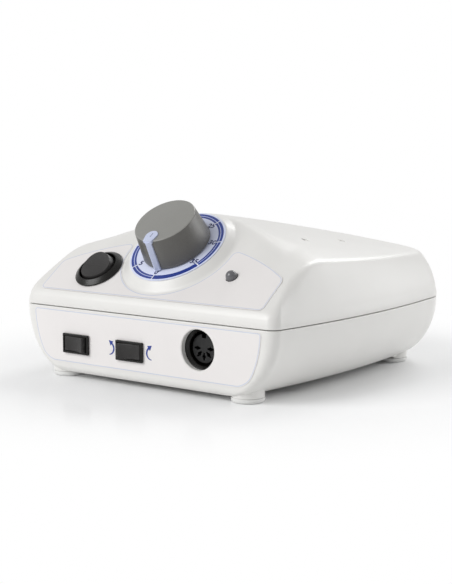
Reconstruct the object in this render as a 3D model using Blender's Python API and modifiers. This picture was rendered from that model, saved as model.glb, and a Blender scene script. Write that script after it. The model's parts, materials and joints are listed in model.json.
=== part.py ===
"""Control unit of a bench micromotor: a two-part moulded case with a sloped control panel.

Metres, +Z up. X runs along the front from left to right, and Y runs from the front to the rear.
The origin is on the bench, below the middle of the unit.
"""
import math

import bmesh
import bpy
from mathutils import Matrix, Vector

# Clearances and overruns
GAP = 0.0003
FILM_GAP = 0.0001
OVERRUN = 0.002
SINK = 0.001

# Case as a whole
DEPTH = 0.148
HALF_WIDTH = 0.0754
SIDE_BOW = 0.0061
WIDEST_SHARE = 0.473
FRONT_CORNER = 0.005
REAR_CORNER = 0.026
WALL = 0.0022
SEAM_Z = 0.032
SEAM_GAP = 0.0004
FRONT_STEPS = 8
SIDE_STEPS = 10
REAR_STEPS = 6
CORNER_STEPS = 4

# Lower housing
UNDERSIDE_Z = 0.0025
HULL_INSET = 0.024
BOTTOM_ROUND = 0.0035
HULL_STEPS = 7
TONGUE_RISE = 0.0016
TONGUE_ROOT = 0.0018
TONGUE_THICK = 0.0012
TONGUE_BITE = 0.0004
TONGUE_CLEARANCE = 0.0007

# Upper cover
LIP_Z = 0.0377
PANEL_TILT = math.radians(36.0)
RIDGE_FRONT_Z = 0.0734
RIDGE_MIDDLE_Z = 0.0671
RIDGE_REAR_Z = 0.0588
RIDGE_SHARES = (0.304, 0.608, 0.946)
EAVES_FRONT_Z = 0.0574
EAVES_REAR_Z = 0.0519
EAVES_SHARES = (0.162, 0.946)
EAVES_HALF = 0.0654
RIDGE_ROUND = 0.015
CREST_BLEND = 0.012
CREST_SHARP = 0.001
BAND_HEIGHT = 0.0018
COVER_DRAFT = 0.003
EDGE_ROUND = 0.006
LEAST_EDGE_ROUND = 0.0026
EDGE_ROUND_SHARE = 0.4
ROUND_STEPS = 3
SPINE_SHARES = (0.36, 0.72)
TOP_SHARES = (0.16, 0.34, 0.54, 0.76, 1.0)

# Dial boss, dial and speed knob, on one axis square to the panel
DIAL_SLOPE = 0.0333
BOSS_RISE = 0.0031
BOSS_RADIUS = 0.0229
BOSS_FLARE = 1.27
BOSS_ROOT = 0.002
PLATE_THICK = 0.0003
PLATE_INSET = 0.0003
PLATE_HOLE = 0.007
KNOB_BASE_RADIUS = 0.0159
KNOB_TOP_RADIUS = 0.01407
KNOB_TOP = 0.01507
KNOB_LIFT = 0.0006
KNOB_WALL = 0.0022
KNOB_CEILING = 0.0025
KNOB_EDGE = 0.0004
HUB_WALL = 0.0019
POINTER_INNER = 0.0077
POINTER_PROUD = 0.00045
POINTER_SINK = 0.001
POINTER_PAD_WIDTH = 0.0044
POINTER_BAR_WIDTH = 0.0034
POINTER_RIDGE = 0.0008
POINTER_TOE = 0.0005

# Speed potentiometer
SHAFT_RADIUS = 0.003
SHAFT_SEAT = 0.0035
BUSH_WALL = 0.0007
BUSH_RISE = 0.0034
POT_RADIUS = 0.0085
POT_LENGTH = 0.0095
WASHER_THICK = 0.0006
WASHER_RADIUS = 0.0062
NUT_THICK = 0.0018
NUT_RADIUS = 0.0056
KNOB_HUB_LIFT = 0.0004

# Labels
FILM_THICK = 0.0003
FRONT_LABEL_MARGIN = 0.006
FRONT_LABEL_TOP_Z = 0.0309
FRONT_LABEL_BOTTOM_Z = 0.0073
FRONT_LABEL_TAPER = 0.75
FRONT_LABEL_STEPS = 8
LABEL_CORNER = 0.0025
PANEL_LABEL_MARGIN = 0.0073
PANEL_LABEL_BOTTOM = 0.0027
PANEL_LABEL_PEAK = 0.0405
PANEL_LABEL_ARCH = 0.1125
PANEL_LABEL_BOSS_MARGIN = 0.0012
PANEL_LABEL_TIP = 0.0015
PANEL_LABEL_STEPS = 10

# Round power switch
POWER_BOSS_ROOM = 0.0014
POWER_SLOPE = 0.0176
POWER_BEZEL_RADIUS = 0.0115
POWER_BEZEL_RISE = 0.0019
POWER_BODY_RADIUS = 0.00975
POWER_WELL_RADIUS = 0.0091
POWER_BODY_LENGTH = 0.016
POWER_WELL_DEPTH = 0.0062
POWER_BEZEL_LIP = 0.0006
POWER_ROCKER_TOP = 0.0033
POWER_ROCKER_DISH = 0.0011
POWER_ROCKER_TAPER = 0.0005
POWER_ROCKER_SKIRT = 0.0005
POWER_ROCKER_KEEL = 0.0032
POWER_PIVOT_DEPTH = 0.001
POWER_TILT = math.radians(10.0)

# Two rectangular front switches
MODE_SHARE = -0.504
DIRECTION_SHARE = -0.0875
SWITCH_Z = 0.01625
SWITCH_LENGTH = 0.0152
SWITCH_HEIGHT = 0.0088
SWITCH_FLANGE = 0.0009
SWITCH_FLANGE_EDGE = 0.0007
SWITCH_CHEEK = 0.0005
SWITCH_BODY_DEPTH = 0.0105
SWITCH_WELL_DEPTH = 0.0036
SWITCH_PIVOT_DEPTH = 0.001
SWITCH_TILT = math.radians(8.0)
PADDLE_RISE = 0.0034
PADDLE_DISH = 0.0009
PADDLE_TAPER = 0.0003
PADDLE_SKIRT = 0.0006
PADDLE_KEEL = 0.0021
TRUNNION_RADIUS = 0.0007
TRUNNION_GAP = 0.0002
TRUNNION_REACH = 0.0006

# Motor socket
SOCKET_SHARE = 0.41
SOCKET_Z = 0.0206
SOCKET_HOLE = 0.00866
SOCKET_SHELL_RADIUS = 0.0092
SOCKET_SHELL_BORE = 0.0073
SOCKET_SHELL_MOUTH = 0.0085
SOCKET_SHELL_CHAMFER = 0.0012
SOCKET_SHELL_BACK = 0.0015
SOCKET_SHELL_LENGTH = 0.0096
SOCKET_INSERT_RADIUS = 0.0062
SOCKET_INSERT_DEPTH = 0.0042
SOCKET_COLLAR_WALL = 0.0012
SOCKET_COLLAR_DEPTH = 0.005
SOCKET_RING_THICK = 0.0012
CONTACT_CIRCLE = 0.0034
CONTACT_HOLE = 0.00075
CONTACT_DEPTH = 0.003
CONTACT_SLOT_WIDTH = 0.0006
CONTACT_SLOT_LENGTH = 0.0026
CONTACT_COUNT = 5
KEY_WIDTH = 0.0022
KEY_HEIGHT = 0.0018

# Power light
LIGHT_SHARE = 0.483
LIGHT_SLOPE = 0.0202
LIGHT_RADIUS = 0.0025
LIGHT_SHOULDER = 0.0008
LIGHT_FLANGE_RADIUS = 0.0029
LIGHT_FLANGE_THICK = 0.0009
LIGHT_LENGTH = 0.005
LIGHT_RING_WALL = 0.0012
LIGHT_RING_LENGTH = 0.0035

# Rest holes in the cover, for a handpiece holder
REST_HOLE_SHARE = 0.557
REST_HOLE_DEPTHS = (0.0625, 0.0925)
REST_HOLE_RADIUS = 0.0017
REST_HOLE_SINK = 0.0016

# Feet
FOOT_SIDE_ROOM = 0.0249
FOOT_FRONT = 0.0085
FOOT_REAR_ROOM = 0.023
FOOT_RADIUS = 0.0064
FOOT_ROUND = 0.0008
FOOT_PAD_EDGE = 0.0006
FOOT_PAD_RISE = 0.0065
FOOT_STEM_RADIUS = 0.0019
FOOT_STEM_RISE = 0.0045

# Case screws and their posts
POST_SIDE_ROOM = 0.0234
POST_FRONT = 0.038
POST_REAR_ROOM = 0.03
POST_RADIUS = 0.0044
COVER_POST_RADIUS = 0.0036
SCREW_RADIUS = 0.0014
SCREW_HEAD_RADIUS = 0.0028
SCREW_HEAD_HEIGHT = 0.0017
SCREW_GRIP = 0.0095
SCREW_THREAD = 0.0085
SCREW_SLOT = 0.0006
SCREW_SLOT_DEPTH = 0.0007
SCREW_FLAT_SHARE = 0.7

# Circuit board and what it carries
BOARD_EDGE = 0.0015
BOARD_END = 0.0078
BOARD_SPACING = 0.001
BOARD_REAR_ROOM = 0.005
BOARD_THICK = 0.0016
BOARD_Z = 0.009
BOARD_HOLE_INSET = 0.004
BOARD_POST_RADIUS = 0.003
BOARD_SCREW_RADIUS = 0.0012
BOARD_SCREW_HEAD = 0.0024
BOARD_SCREW_HEAD_HEIGHT = 0.0013
BOARD_SCREW_LENGTH = 0.0035
CAPACITOR_RADIUS = 0.0061
CAPACITOR_HEIGHT = 0.022
RELAY_SIZE = (0.0155, 0.0115, 0.0155)
RECTIFIER_SIZE = (0.015, 0.0045, 0.011)
DRIVER_SIZE = (0.0064, 0.0098, 0.0036)
HEADER_SIZE = (0.005, 0.016, 0.0085)
HEAT_SINK_SIZE = (0.038, 0.013, 0.026)
HEAT_SINK_BACK = 0.003
HEAT_SINK_FINS = 7
HEAT_SINK_FIN = 0.0014
TRANSISTOR_SIZE = (0.0102, 0.0044, 0.0155)
TRANSISTOR_LEG = 0.0008
TRANSISTOR_LEG_PITCH = 0.00254
TRANSISTOR_LEG_RISE = 0.006

# Mains transformer
CORE_SHARE = -0.424
CORE_THICK = 0.024
CORE_LENGTH = 0.05
CORE_HEIGHT = 0.042
CORE_YOKE = 0.0083
CORE_WINDOW = 0.0084
PLINTH_INSET = 0.002
PLINTH_Z = 0.0067
WINDING_GROWTH = 0.008
CLAMP_THICK = 0.001
CLAMP_WIDTH = 0.016
CLAMP_FOOT = 0.01
CLAMP_POST_RADIUS = 0.0038

# Rear sockets, on one height
REAR_Z = 0.0175
INLET_SHARE = -0.22
INLET_FLANGE = (0.0307, 0.0226)
INLET_FLANGE_THICK = 0.0022
INLET_BODY = (0.0268, 0.0194)
INLET_CAVITY = (0.0242, 0.0162)
INLET_CHAMFER = 0.0045
INLET_CORNER = 0.0015
INLET_CAVITY_DEPTH = 0.0155
INLET_BACK = 0.002
PIN_SIZE = (0.002, 0.004)
PIN_LENGTH = 0.0165
PIN_TIP = 0.0008
PIN_SPACING = 0.007
PIN_DROP = 0.002
FUSE_SHARE = 0.155
FUSE_FLANGE_RADIUS = 0.0078
FUSE_FLANGE_THICK = 0.0014
FUSE_BODY_RADIUS = 0.0062
FUSE_BODY_LENGTH = 0.03
FUSE_BORE = 0.0049
FUSE_CAP_RADIUS = 0.0058
FUSE_CAP_RISE = 0.0032
FUSE_CAP_STEM = 0.0044
FUSE_CAP_STEM_LENGTH = 0.006
FUSE_CAP_SLOT = 0.0014
FUSE_CAP_SLOT_DEPTH = 0.0012
FUSE_CAP_EDGE = 0.0005
FUSE_RADIUS = 0.0026
FUSE_LENGTH = 0.02
FUSE_NUT_RADIUS = 0.0078
FUSE_NUT_THICK = 0.0025
JACK_SHARE = 0.36
JACK_BORE = 0.0018
JACK_BUSH_RADIUS = 0.0029
JACK_BUSH_RISE = 0.0027
JACK_NUT_RADIUS = 0.0042
JACK_NUT_THICK = 0.0019
JACK_BODY = (0.01, 0.0125, 0.009)
JACK_BORE_DEPTH = 0.0105

# Turned and round shapes
ROUND_SEGMENTS = 24
FINE_SEGMENTS = 40
SMALL_SEGMENTS = 12
LEAST_SEGMENTS = 8
NUT_SIDES = 6
DOME_STEPS = 6
MERGE = 0.00001

# Where the front plane, the rear plane and the panel lie
SWITCH_REACH = FILM_GAP + FILM_THICK + FILM_GAP + SWITCH_FLANGE
PADDLE_END = (SWITCH_LENGTH / 2.0) - SWITCH_FLANGE_EDGE - SWITCH_CHEEK - GAP
PADDLE_REACH = (
    (PADDLE_RISE * math.cos(SWITCH_TILT))
    + (PADDLE_END - PADDLE_TAPER) * math.sin(SWITCH_TILT)
    - SWITCH_PIVOT_DEPTH
)
REAR_REACH = FUSE_FLANGE_THICK + FUSE_CAP_RISE
FRONT_Y = (PADDLE_REACH - DEPTH - REAR_REACH) / 2.0
REAR_Y = FRONT_Y + DEPTH
HULL_DROP = SEAM_Z - UNDERSIDE_Z
BOSS_FOOT_RADIUS = BOSS_RADIUS + BOSS_FLARE * BOSS_RISE

# Round switch: beside the dial's boss
POWER_AWAY = BOSS_FOOT_RADIUS + POWER_BEZEL_RADIUS + POWER_BOSS_ROOM
POWER_X = -math.sqrt(POWER_AWAY**2 - (DIAL_SLOPE - POWER_SLOPE) ** 2)

# Places that follow the case's width
MODE_X = MODE_SHARE * HALF_WIDTH
DIRECTION_X = DIRECTION_SHARE * HALF_WIDTH
SOCKET_X = SOCKET_SHARE * HALF_WIDTH
LIGHT_X = LIGHT_SHARE * HALF_WIDTH
INLET_X = INLET_SHARE * HALF_WIDTH
FUSE_X = FUSE_SHARE * HALF_WIDTH
JACK_X = JACK_SHARE * HALF_WIDTH
REST_HOLE_X = REST_HOLE_SHARE * HALF_WIDTH
CORE_X = CORE_SHARE * HALF_WIDTH
FOOT_X = HALF_WIDTH - FOOT_SIDE_ROOM
POST_X = HALF_WIDTH - POST_SIDE_ROOM
FRONT_LABEL_HALF = HALF_WIDTH - SIDE_BOW - FRONT_LABEL_MARGIN
PANEL_LABEL_HALF = HALF_WIDTH - SIDE_BOW - PANEL_LABEL_MARGIN

# Circuit board: as wide and as long as the rows of parts on it, in the room beside the transformer
FRONT_ROW = max(2.0 * CAPACITOR_RADIUS, RELAY_SIZE[1])
REAR_ROW = TRANSISTOR_SIZE[1] + GAP + HEAT_SINK_SIZE[1]
BOARD_WIDTH = 2.0 * BOARD_EDGE + 4.0 * CAPACITOR_RADIUS + RELAY_SIZE[0] + 2.0 * BOARD_SPACING
BOARD_LENGTH = 2.0 * BOARD_END + FRONT_ROW + HEADER_SIZE[1] + REAR_ROW + 2.0 * BOARD_SPACING
BOARD_FRONT = DEPTH - FUSE_BODY_LENGTH - BOARD_REAR_ROOM - BOARD_LENGTH
WINDING_EDGE = CORE_X + CORE_THICK / 2.0 + WINDING_GROWTH
HULL_EDGE = HALF_WIDTH - HULL_INSET / 2.0 - WALL
BOARD_LEFT = (WINDING_EDGE + HULL_EDGE - BOARD_WIDTH) / 2.0

# Transformer: midway between the round switch and the mains inlet
POWER_REACH = (
    (POWER_SLOPE + POWER_BODY_RADIUS) * math.cos(PANEL_TILT) + POWER_BODY_LENGTH * math.sin(PANEL_TILT)
)
INLET_REACH = DEPTH - INLET_CAVITY_DEPTH - INLET_BACK - PIN_TIP
CORE_MIDDLE = (POWER_REACH + INLET_REACH) / 2.0
NORMAL = Vector((0.0, -math.sin(PANEL_TILT), math.cos(PANEL_TILT)))
UPSLOPE = Vector((0.0, math.cos(PANEL_TILT), math.sin(PANEL_TILT)))
TO_PANEL = Matrix.Rotation(PANEL_TILT, 4, "X")
TO_FRONT = Matrix.Rotation(math.radians(90.0), 4, "X")
TO_REAR = Matrix.Rotation(math.radians(-90.0), 4, "X")

for stale in list(bpy.data.objects):
    bpy.data.objects.remove(stale, do_unlink=True)
PARTS = bpy.data.collections.new("micromotor_control_unit")
CUTTERS = bpy.data.collections.new("cutters")
bpy.context.scene.collection.children.link(PARTS)
bpy.context.scene.collection.children.link(CUTTERS)
ASSEMBLY = bpy.data.objects.new("assembly", None)
PARTS.objects.link(ASSEMBLY)


# Materials
def material(name, colour, roughness, metallic=0.0, alpha=1.0):
    made = bpy.data.materials.new(name)
    made.use_nodes = True
    shader = made.node_tree.nodes["Principled BSDF"]
    shader.inputs["Base Color"].default_value = (*colour, 1.0)
    shader.inputs["Roughness"].default_value = roughness
    shader.inputs["Metallic"].default_value = metallic
    shader.inputs["Alpha"].default_value = alpha
    return made


WHITE_CASE = material("white_case", (0.78, 0.78, 0.76), 0.35)
WHITE_RUBBER = material("white_rubber", (0.72, 0.72, 0.7), 0.6)
FILM = material("film", (0.82, 0.8, 0.79), 0.4)
DIAL_FILM = material("dial_film", (0.72, 0.75, 0.88), 0.35)
GREY_KNOB = material("grey_knob", (0.28, 0.28, 0.265), 0.45)
POINTER_WHITE = material("pointer_white", (0.7, 0.74, 0.88), 0.3)
BLACK_PLASTIC = material("black_plastic", (0.022, 0.021, 0.02), 0.35)
DARK_PLASTIC = material("dark_plastic", (0.045, 0.045, 0.045), 0.5)
CLEAR_LENS = material("clear_lens", (0.45, 0.45, 0.47), 0.1, 0.0, 0.6)
STEEL = material("steel", (0.6, 0.6, 0.6), 0.3, 1.0)
BRASS = material("brass", (0.7, 0.55, 0.25), 0.3, 1.0)
BOARD_GREEN = material("board_green", (0.03, 0.16, 0.07), 0.4)
CORE_STEEL = material("core_steel", (0.2, 0.2, 0.21), 0.5, 0.8)
WINDING_TAPE = material("winding_tape", (0.75, 0.55, 0.08), 0.5)
ALUMINIUM = material("aluminium", (0.65, 0.66, 0.68), 0.4, 1.0)
BLUE_SLEEVE = material("blue_sleeve", (0.03, 0.05, 0.2), 0.35)
CLEAR_GLASS = material("clear_glass", (0.8, 0.85, 0.85), 0.1, 0.0, 0.4)


# Meshes and objects
def mesh_object(name, bm, finish=None, open_skin=False):
    """An object from a bmesh: a part where it has a finish, otherwise a cutter or a shape to join."""
    mesh = bpy.data.meshes.new(name)
    if not open_skin:
        bmesh.ops.recalc_face_normals(bm, faces=bm.faces)
    bm.to_mesh(mesh)
    bm.free()
    obj = bpy.data.objects.new(name, mesh)
    if finish is None:
        CUTTERS.objects.link(obj)
        obj.hide_render = True
        obj.display_type = "WIRE"
        return obj
    PARTS.objects.link(obj)
    obj.parent = ASSEMBLY
    mesh.materials.append(finish)
    return obj


def smooth(obj, degrees=35.0):
    obj.data.shade_smooth()
    obj.data.set_sharp_from_angle(angle=math.radians(degrees))
    return obj


def block(name, size, centre, finish=None):
    bm = bmesh.new()
    bmesh.ops.create_cube(bm, size=1.0)
    bmesh.ops.scale(bm, vec=Vector(size), verts=bm.verts)
    bmesh.ops.translate(bm, vec=Vector(centre), verts=bm.verts)
    return mesh_object(name, bm, finish)


def cylinder(name, radius, length, place, finish=None, segments=ROUND_SEGMENTS, top_radius=None):
    """A cylinder or cone from z 0 up to its length, moved by a matrix."""
    bm = bmesh.new()
    far_radius = radius if top_radius is None else top_radius
    bmesh.ops.create_cone(
        bm, cap_ends=True, segments=segments, radius1=radius, radius2=far_radius, depth=length
    )
    bmesh.ops.translate(bm, vec=Vector((0.0, 0.0, length / 2.0)), verts=bm.verts)
    bmesh.ops.transform(bm, matrix=place, verts=bm.verts)
    return mesh_object(name, bm, finish)


def small_cylinder(name, radius, length, place, finish=None):
    return cylinder(name, radius, length, place, finish, SMALL_SEGMENTS)


def turned(name, profile, place, finish=None, segments=ROUND_SEGMENTS):
    """A profile of (radius, height), from the top down its outer side, turned about its axis."""
    bm = bmesh.new()
    corners = [bm.verts.new((radius, 0.0, height)) for radius, height in profile]
    for first, second in zip(corners, corners[1:]):
        bm.edges.new((first, second))
    if profile[0][0] > 0.0:
        bm.edges.new((corners[-1], corners[0]))
    mesh = bpy.data.meshes.new(name)
    bm.to_mesh(mesh)
    bm.free()
    obj = bpy.data.objects.new(name, mesh)
    screw = obj.modifiers.new("turn", "SCREW")
    screw.axis = "Z"
    screw.steps = segments
    screw.render_steps = segments
    screw.use_merge_vertices = True
    screw.merge_threshold = MERGE
    obj.matrix_world = place
    if finish is None:
        CUTTERS.objects.link(obj)
        obj.hide_render = True
        obj.display_type = "WIRE"
        return obj
    PARTS.objects.link(obj)
    obj.parent = ASSEMBLY
    mesh.materials.append(finish)
    return obj


def prism(name, outline, length, place, finish=None):
    """A flat outline of (x, y) points in the z 0 plane, given its length along z, then moved."""
    bm = bmesh.new()
    floor = bm.faces.new([bm.verts.new((x, y, 0.0)) for x, y in outline])
    grown = bmesh.ops.extrude_face_region(bm, geom=[floor])
    risen = [item for item in grown["geom"] if isinstance(item, bmesh.types.BMVert)]
    bmesh.ops.translate(bm, vec=Vector((0.0, 0.0, length)), verts=risen)
    bmesh.ops.transform(bm, matrix=place, verts=bm.verts)
    return mesh_object(name, bm, finish)


def loft(name, rings, finish=None, close_first=False, close_last=False, closed_run=False):
    """A skin through rings of points, counter-clockwise and rising, for forms no primitive makes."""
    bm = bmesh.new()
    rows = [[bm.verts.new(point) for point in ring] for ring in rings]
    pairs = list(zip(rows, rows[1:]))
    if closed_run:
        pairs.append((rows[-1], rows[0]))
    for lower, upper in pairs:
        for index in range(len(lower)):
            after = (index + 1) % len(lower)
            bm.faces.new((lower[index], lower[after], upper[after], upper[index]))
    if close_first:
        bm.faces.new(list(reversed(rows[0])))
    if close_last:
        bm.faces.new(rows[-1])
    bmesh.ops.remove_doubles(bm, verts=bm.verts, dist=MERGE)
    open_skin = not (closed_run or (close_first and close_last))
    return mesh_object(name, bm, finish, open_skin)


def boolean(obj, other, operation):
    step = obj.modifiers.new(operation.lower() + "_" + other.name, "BOOLEAN")
    step.operation = operation
    step.solver = "EXACT"
    step.object = other


def cut(obj, *cutters):
    for cutter in cutters:
        boolean(obj, cutter, "DIFFERENCE")


def join(obj, *pieces):
    for piece in pieces:
        boolean(obj, piece, "UNION")


def at(x, y, z):
    return Matrix.Translation((x, y, z))


def on_panel(x, slope, rise):
    """A frame on the control panel: x, the way up the slope, and the height square to the panel."""
    start = Vector((x, FRONT_Y, LIP_Z))
    return Matrix.Translation(start + UPSLOPE * slope + NORMAL * rise) @ TO_PANEL


def on_front(x, z, depth=0.0):
    """A frame on the front plane whose z axis points out of the unit."""
    return at(x, FRONT_Y + depth, z) @ TO_FRONT


def on_rear(x, z, depth=0.0):
    """A frame on the rear plane whose z axis points out of the unit."""
    return at(x, REAR_Y - depth, z) @ TO_REAR


def rounded_rectangle(width, height, corner, steps=3):
    points = []
    for turn in range(4):
        middle_x = (width / 2.0 - corner) * (1.0 if turn in (0, 3) else -1.0)
        middle_y = (height / 2.0 - corner) * (1.0 if turn < 2 else -1.0)
        for step in range(steps + 1):
            angle = math.radians(90.0) * (turn + step / steps)
            points.append((middle_x + corner * math.cos(angle), middle_y + corner * math.sin(angle)))
    return points


# Shape of the case
def half_width(depth):
    middle = WIDEST_SHARE * DEPTH
    return HALF_WIDTH - SIDE_BOW * ((depth - middle) / middle) ** 2


def hull_inset(z):
    """How far the side has curved in at height z below the seam."""
    fall = min(max((SEAM_Z - z) / HULL_DROP, 0.0), 1.0)
    return HULL_INSET * (1.0 - math.sqrt(1.0 - fall * fall))


def end_inset(z):
    """How far the front and the rear have curved in at height z."""
    fall = min(max((UNDERSIDE_Z + BOTTOM_ROUND - z) / BOTTOM_ROUND, 0.0), 1.0)
    return BOTTOM_ROUND * (1.0 - math.sqrt(1.0 - fall * fall))


def outline_point(index, side_inset, end_inset_now):
    """Point of the plan outline by its number, counter-clockwise from the front left corner."""
    front = end_inset_now
    rear = DEPTH - end_inset_now
    front_corner = FRONT_CORNER
    rear_corner = max(REAR_CORNER - end_inset_now, FRONT_CORNER)
    front_half = half_width(front + front_corner) - side_inset
    rear_half = half_width(rear - rear_corner) - side_inset
    for steps, kind in (
        (FRONT_STEPS, "front"),
        (CORNER_STEPS, "front_right"),
        (SIDE_STEPS, "right"),
        (CORNER_STEPS, "rear_right"),
        (REAR_STEPS, "rear"),
        (CORNER_STEPS, "rear_left"),
        (SIDE_STEPS, "left"),
        (CORNER_STEPS, "front_left"),
    ):
        if index < steps:
            break
        index -= steps
    share = index / steps
    quarter = math.radians(90.0) * share
    if kind == "front":
        return ((2.0 * share - 1.0) * (front_half - front_corner), front)
    if kind == "front_right":
        x = front_half - front_corner + front_corner * math.sin(quarter)
        return (x, front + front_corner - front_corner * math.cos(quarter))
    if kind == "front_left":
        x = front_corner - front_half - front_corner * math.cos(quarter)
        return (x, front + front_corner - front_corner * math.sin(quarter))
    if kind == "rear_right":
        x = rear_half - rear_corner + rear_corner * math.cos(quarter)
        return (x, rear - rear_corner + rear_corner * math.sin(quarter))
    if kind == "rear_left":
        x = rear_corner - rear_half - rear_corner * math.sin(quarter)
        return (x, rear - rear_corner + rear_corner * math.cos(quarter))
    if kind == "rear":
        return ((1.0 - 2.0 * share) * (rear_half - rear_corner), rear)
    run = rear - rear_corner - front - front_corner
    if kind == "right":
        depth = front + front_corner + run * share
        return (half_width(depth) - side_inset, depth)
    depth = rear - rear_corner - run * share
    return (side_inset - half_width(depth), depth)


OUTLINE_COUNT = FRONT_STEPS + REAR_STEPS + 2 * SIDE_STEPS + 4 * CORNER_STEPS


def ring_at(z, side_inset, end_inset_now):
    ring = []
    for index in range(OUTLINE_COUNT):
        x, depth = outline_point(index, side_inset, end_inset_now)
        ring.append(Vector((x, FRONT_Y + depth, z)))
    return ring


def through_three(depth, shares, heights):
    """A smooth height through three places along the depth."""
    first, second, third = (share * DEPTH for share in shares)
    return (
        heights[0] * (depth - second) * (depth - third) / ((first - second) * (first - third))
        + heights[1] * (depth - first) * (depth - third) / ((second - first) * (second - third))
        + heights[2] * (depth - first) * (depth - second) / ((third - first) * (third - second))
    )


def panel_height(depth):
    return LIP_Z + math.tan(PANEL_TILT) * depth


def crest_blend(x, depth):
    """Softness of the crest: sharp where it leaves the dial boss and soft further out."""
    away = math.hypot(x, depth / math.cos(PANEL_TILT) - DIAL_SLOPE) / BOSS_FOOT_RADIUS - 1.0
    return CREST_SHARP + (CREST_BLEND - CREST_SHARP) * min(max(away, 0.0), 1.0)


def cover_height(x, depth):
    """Height of the cover: the flat panel and the ridged top, blended along the crest."""
    ridge = through_three(depth, RIDGE_SHARES, (RIDGE_FRONT_Z, RIDGE_MIDDLE_Z, RIDGE_REAR_Z))
    run = (depth / DEPTH - EAVES_SHARES[0]) / (EAVES_SHARES[1] - EAVES_SHARES[0])
    eaves = EAVES_FRONT_Z + (EAVES_REAR_Z - EAVES_FRONT_Z) * run
    full = math.hypot(EAVES_HALF, RIDGE_ROUND) - RIDGE_ROUND
    top = ridge - (ridge - eaves) * (math.hypot(x, RIDGE_ROUND) - RIDGE_ROUND) / full
    panel = panel_height(depth)
    blend = crest_blend(x, depth)
    mix = min(max(0.5 + 0.5 * (top - panel) / blend, 0.0), 1.0)
    return top + (panel - top) * mix - blend * mix * (1.0 - mix)


def cover_edge(index):
    """The edge rounding of the cover at one point of the outline: its inset and its radius."""
    x, depth = outline_point(index, COVER_DRAFT, COVER_DRAFT / 2.0)
    rise = cover_height(x, depth) - SEAM_Z
    draft = COVER_DRAFT * min(rise / (EAVES_FRONT_Z - SEAM_Z), 1.0)
    radius = min(max(rise * EDGE_ROUND_SHARE, LEAST_EDGE_ROUND), EDGE_ROUND)
    return draft, radius


def cover_rings():
    """Rings of the cover from its rim up the side, round the edge and over the top to a spine."""
    foot = SEAM_Z + SEAM_GAP / 2.0
    rings = [ring_at(foot, 0.0, 0.0), ring_at(foot + BAND_HEIGHT, 0.0, 0.0)]
    for step in range(ROUND_STEPS + 1):
        angle = math.radians(90.0) * step / ROUND_STEPS
        ring = []
        for index in range(OUTLINE_COUNT):
            draft, radius = cover_edge(index)
            inset = draft + radius * (1.0 - math.cos(angle))
            x, depth = outline_point(index, inset, inset)
            drop = radius * (1.0 - math.sin(angle))
            ring.append(Vector((x, FRONT_Y + depth, cover_height(x, depth) - drop)))
        rings.append(ring)
    edge = rings[-1]
    for share in TOP_SHARES:
        ring = []
        for start in edge:
            depth = start.y - FRONT_Y
            spine = min(max(depth, SPINE_SHARES[0] * DEPTH), SPINE_SHARES[1] * DEPTH)
            x = start.x * (1.0 - share)
            here = depth + (spine - depth) * share
            ring.append(Vector((x, FRONT_Y + here, cover_height(x, here))))
        rings.append(ring)
    return rings


def solidify(obj, thickness):
    step = obj.modifiers.new("wall", "SOLIDIFY")
    step.thickness = thickness
    step.offset = -1.0
    step.use_even_offset = True
    step.use_rim = True


def mirrored_places(x, depths):
    return [(side * x, depth) for depth in depths for side in (-1.0, 1.0)]


FOOT_PLACES = mirrored_places(FOOT_X, (FOOT_FRONT, DEPTH - FOOT_REAR_ROOM))
POST_PLACES = mirrored_places(POST_X, (POST_FRONT, DEPTH - POST_REAR_ROOM))
BOARD_PLACES = [
    (BOARD_LEFT + along, BOARD_FRONT + back)
    for along in (BOARD_HOLE_INSET, BOARD_WIDTH - BOARD_HOLE_INSET)
    for back in (BOARD_HOLE_INSET, BOARD_LENGTH - BOARD_HOLE_INSET)
]
CLAMP_REACH = CORE_LENGTH / 2.0 + GAP + CLAMP_THICK + CLAMP_FOOT / 2.0
CLAMP_PLACES = [(CORE_X, CORE_MIDDLE - CLAMP_REACH), (CORE_X, CORE_MIDDLE + CLAMP_REACH)]
FLOOR_Z = UNDERSIDE_Z + WALL
FILM_TOP = FILM_GAP + FILM_THICK
SWITCH_BODY_LENGTH = SWITCH_LENGTH - 2.0 * SWITCH_FLANGE_EDGE
SWITCH_BODY_HEIGHT = SWITCH_HEIGHT - 2.0 * SWITCH_FLANGE_EDGE
SCREW_SEAT_Z = SEAM_Z - SCREW_GRIP
SCREW_PILOT = SCREW_RADIUS + GAP


# Lower housing
def housing_skin():
    rings = []
    for step in range(HULL_STEPS + 1):
        angle = math.radians(90.0) * step / HULL_STEPS
        z = SEAM_Z - HULL_DROP * math.sin(angle)
        rim_drop = SEAM_GAP / 2.0 if step == 0 else 0.0
        rings.append(ring_at(z - rim_drop, hull_inset(z), end_inset(z)))
    return loft("lower_housing", list(reversed(rings)), WHITE_CASE, close_first=True)


def tongue():
    """A rib inside the rim of the housing that laps behind the rim of the cover."""
    inner = WALL + TONGUE_CLEARANCE + TONGUE_THICK
    lap = SEAM_Z + TONGUE_RISE
    root = SEAM_Z - TONGUE_ROOT
    step_z = SEAM_Z - SEAM_GAP
    profile = (
        (WALL - TONGUE_BITE, root),
        (WALL - TONGUE_BITE, step_z),
        (WALL + TONGUE_CLEARANCE, step_z),
        (WALL + TONGUE_CLEARANCE, lap),
        (inner, lap),
        (inner, root),
    )
    rings = [ring_at(z, inset, inset) for inset, z in profile]
    return loft("tongue", rings, closed_run=True)


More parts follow.
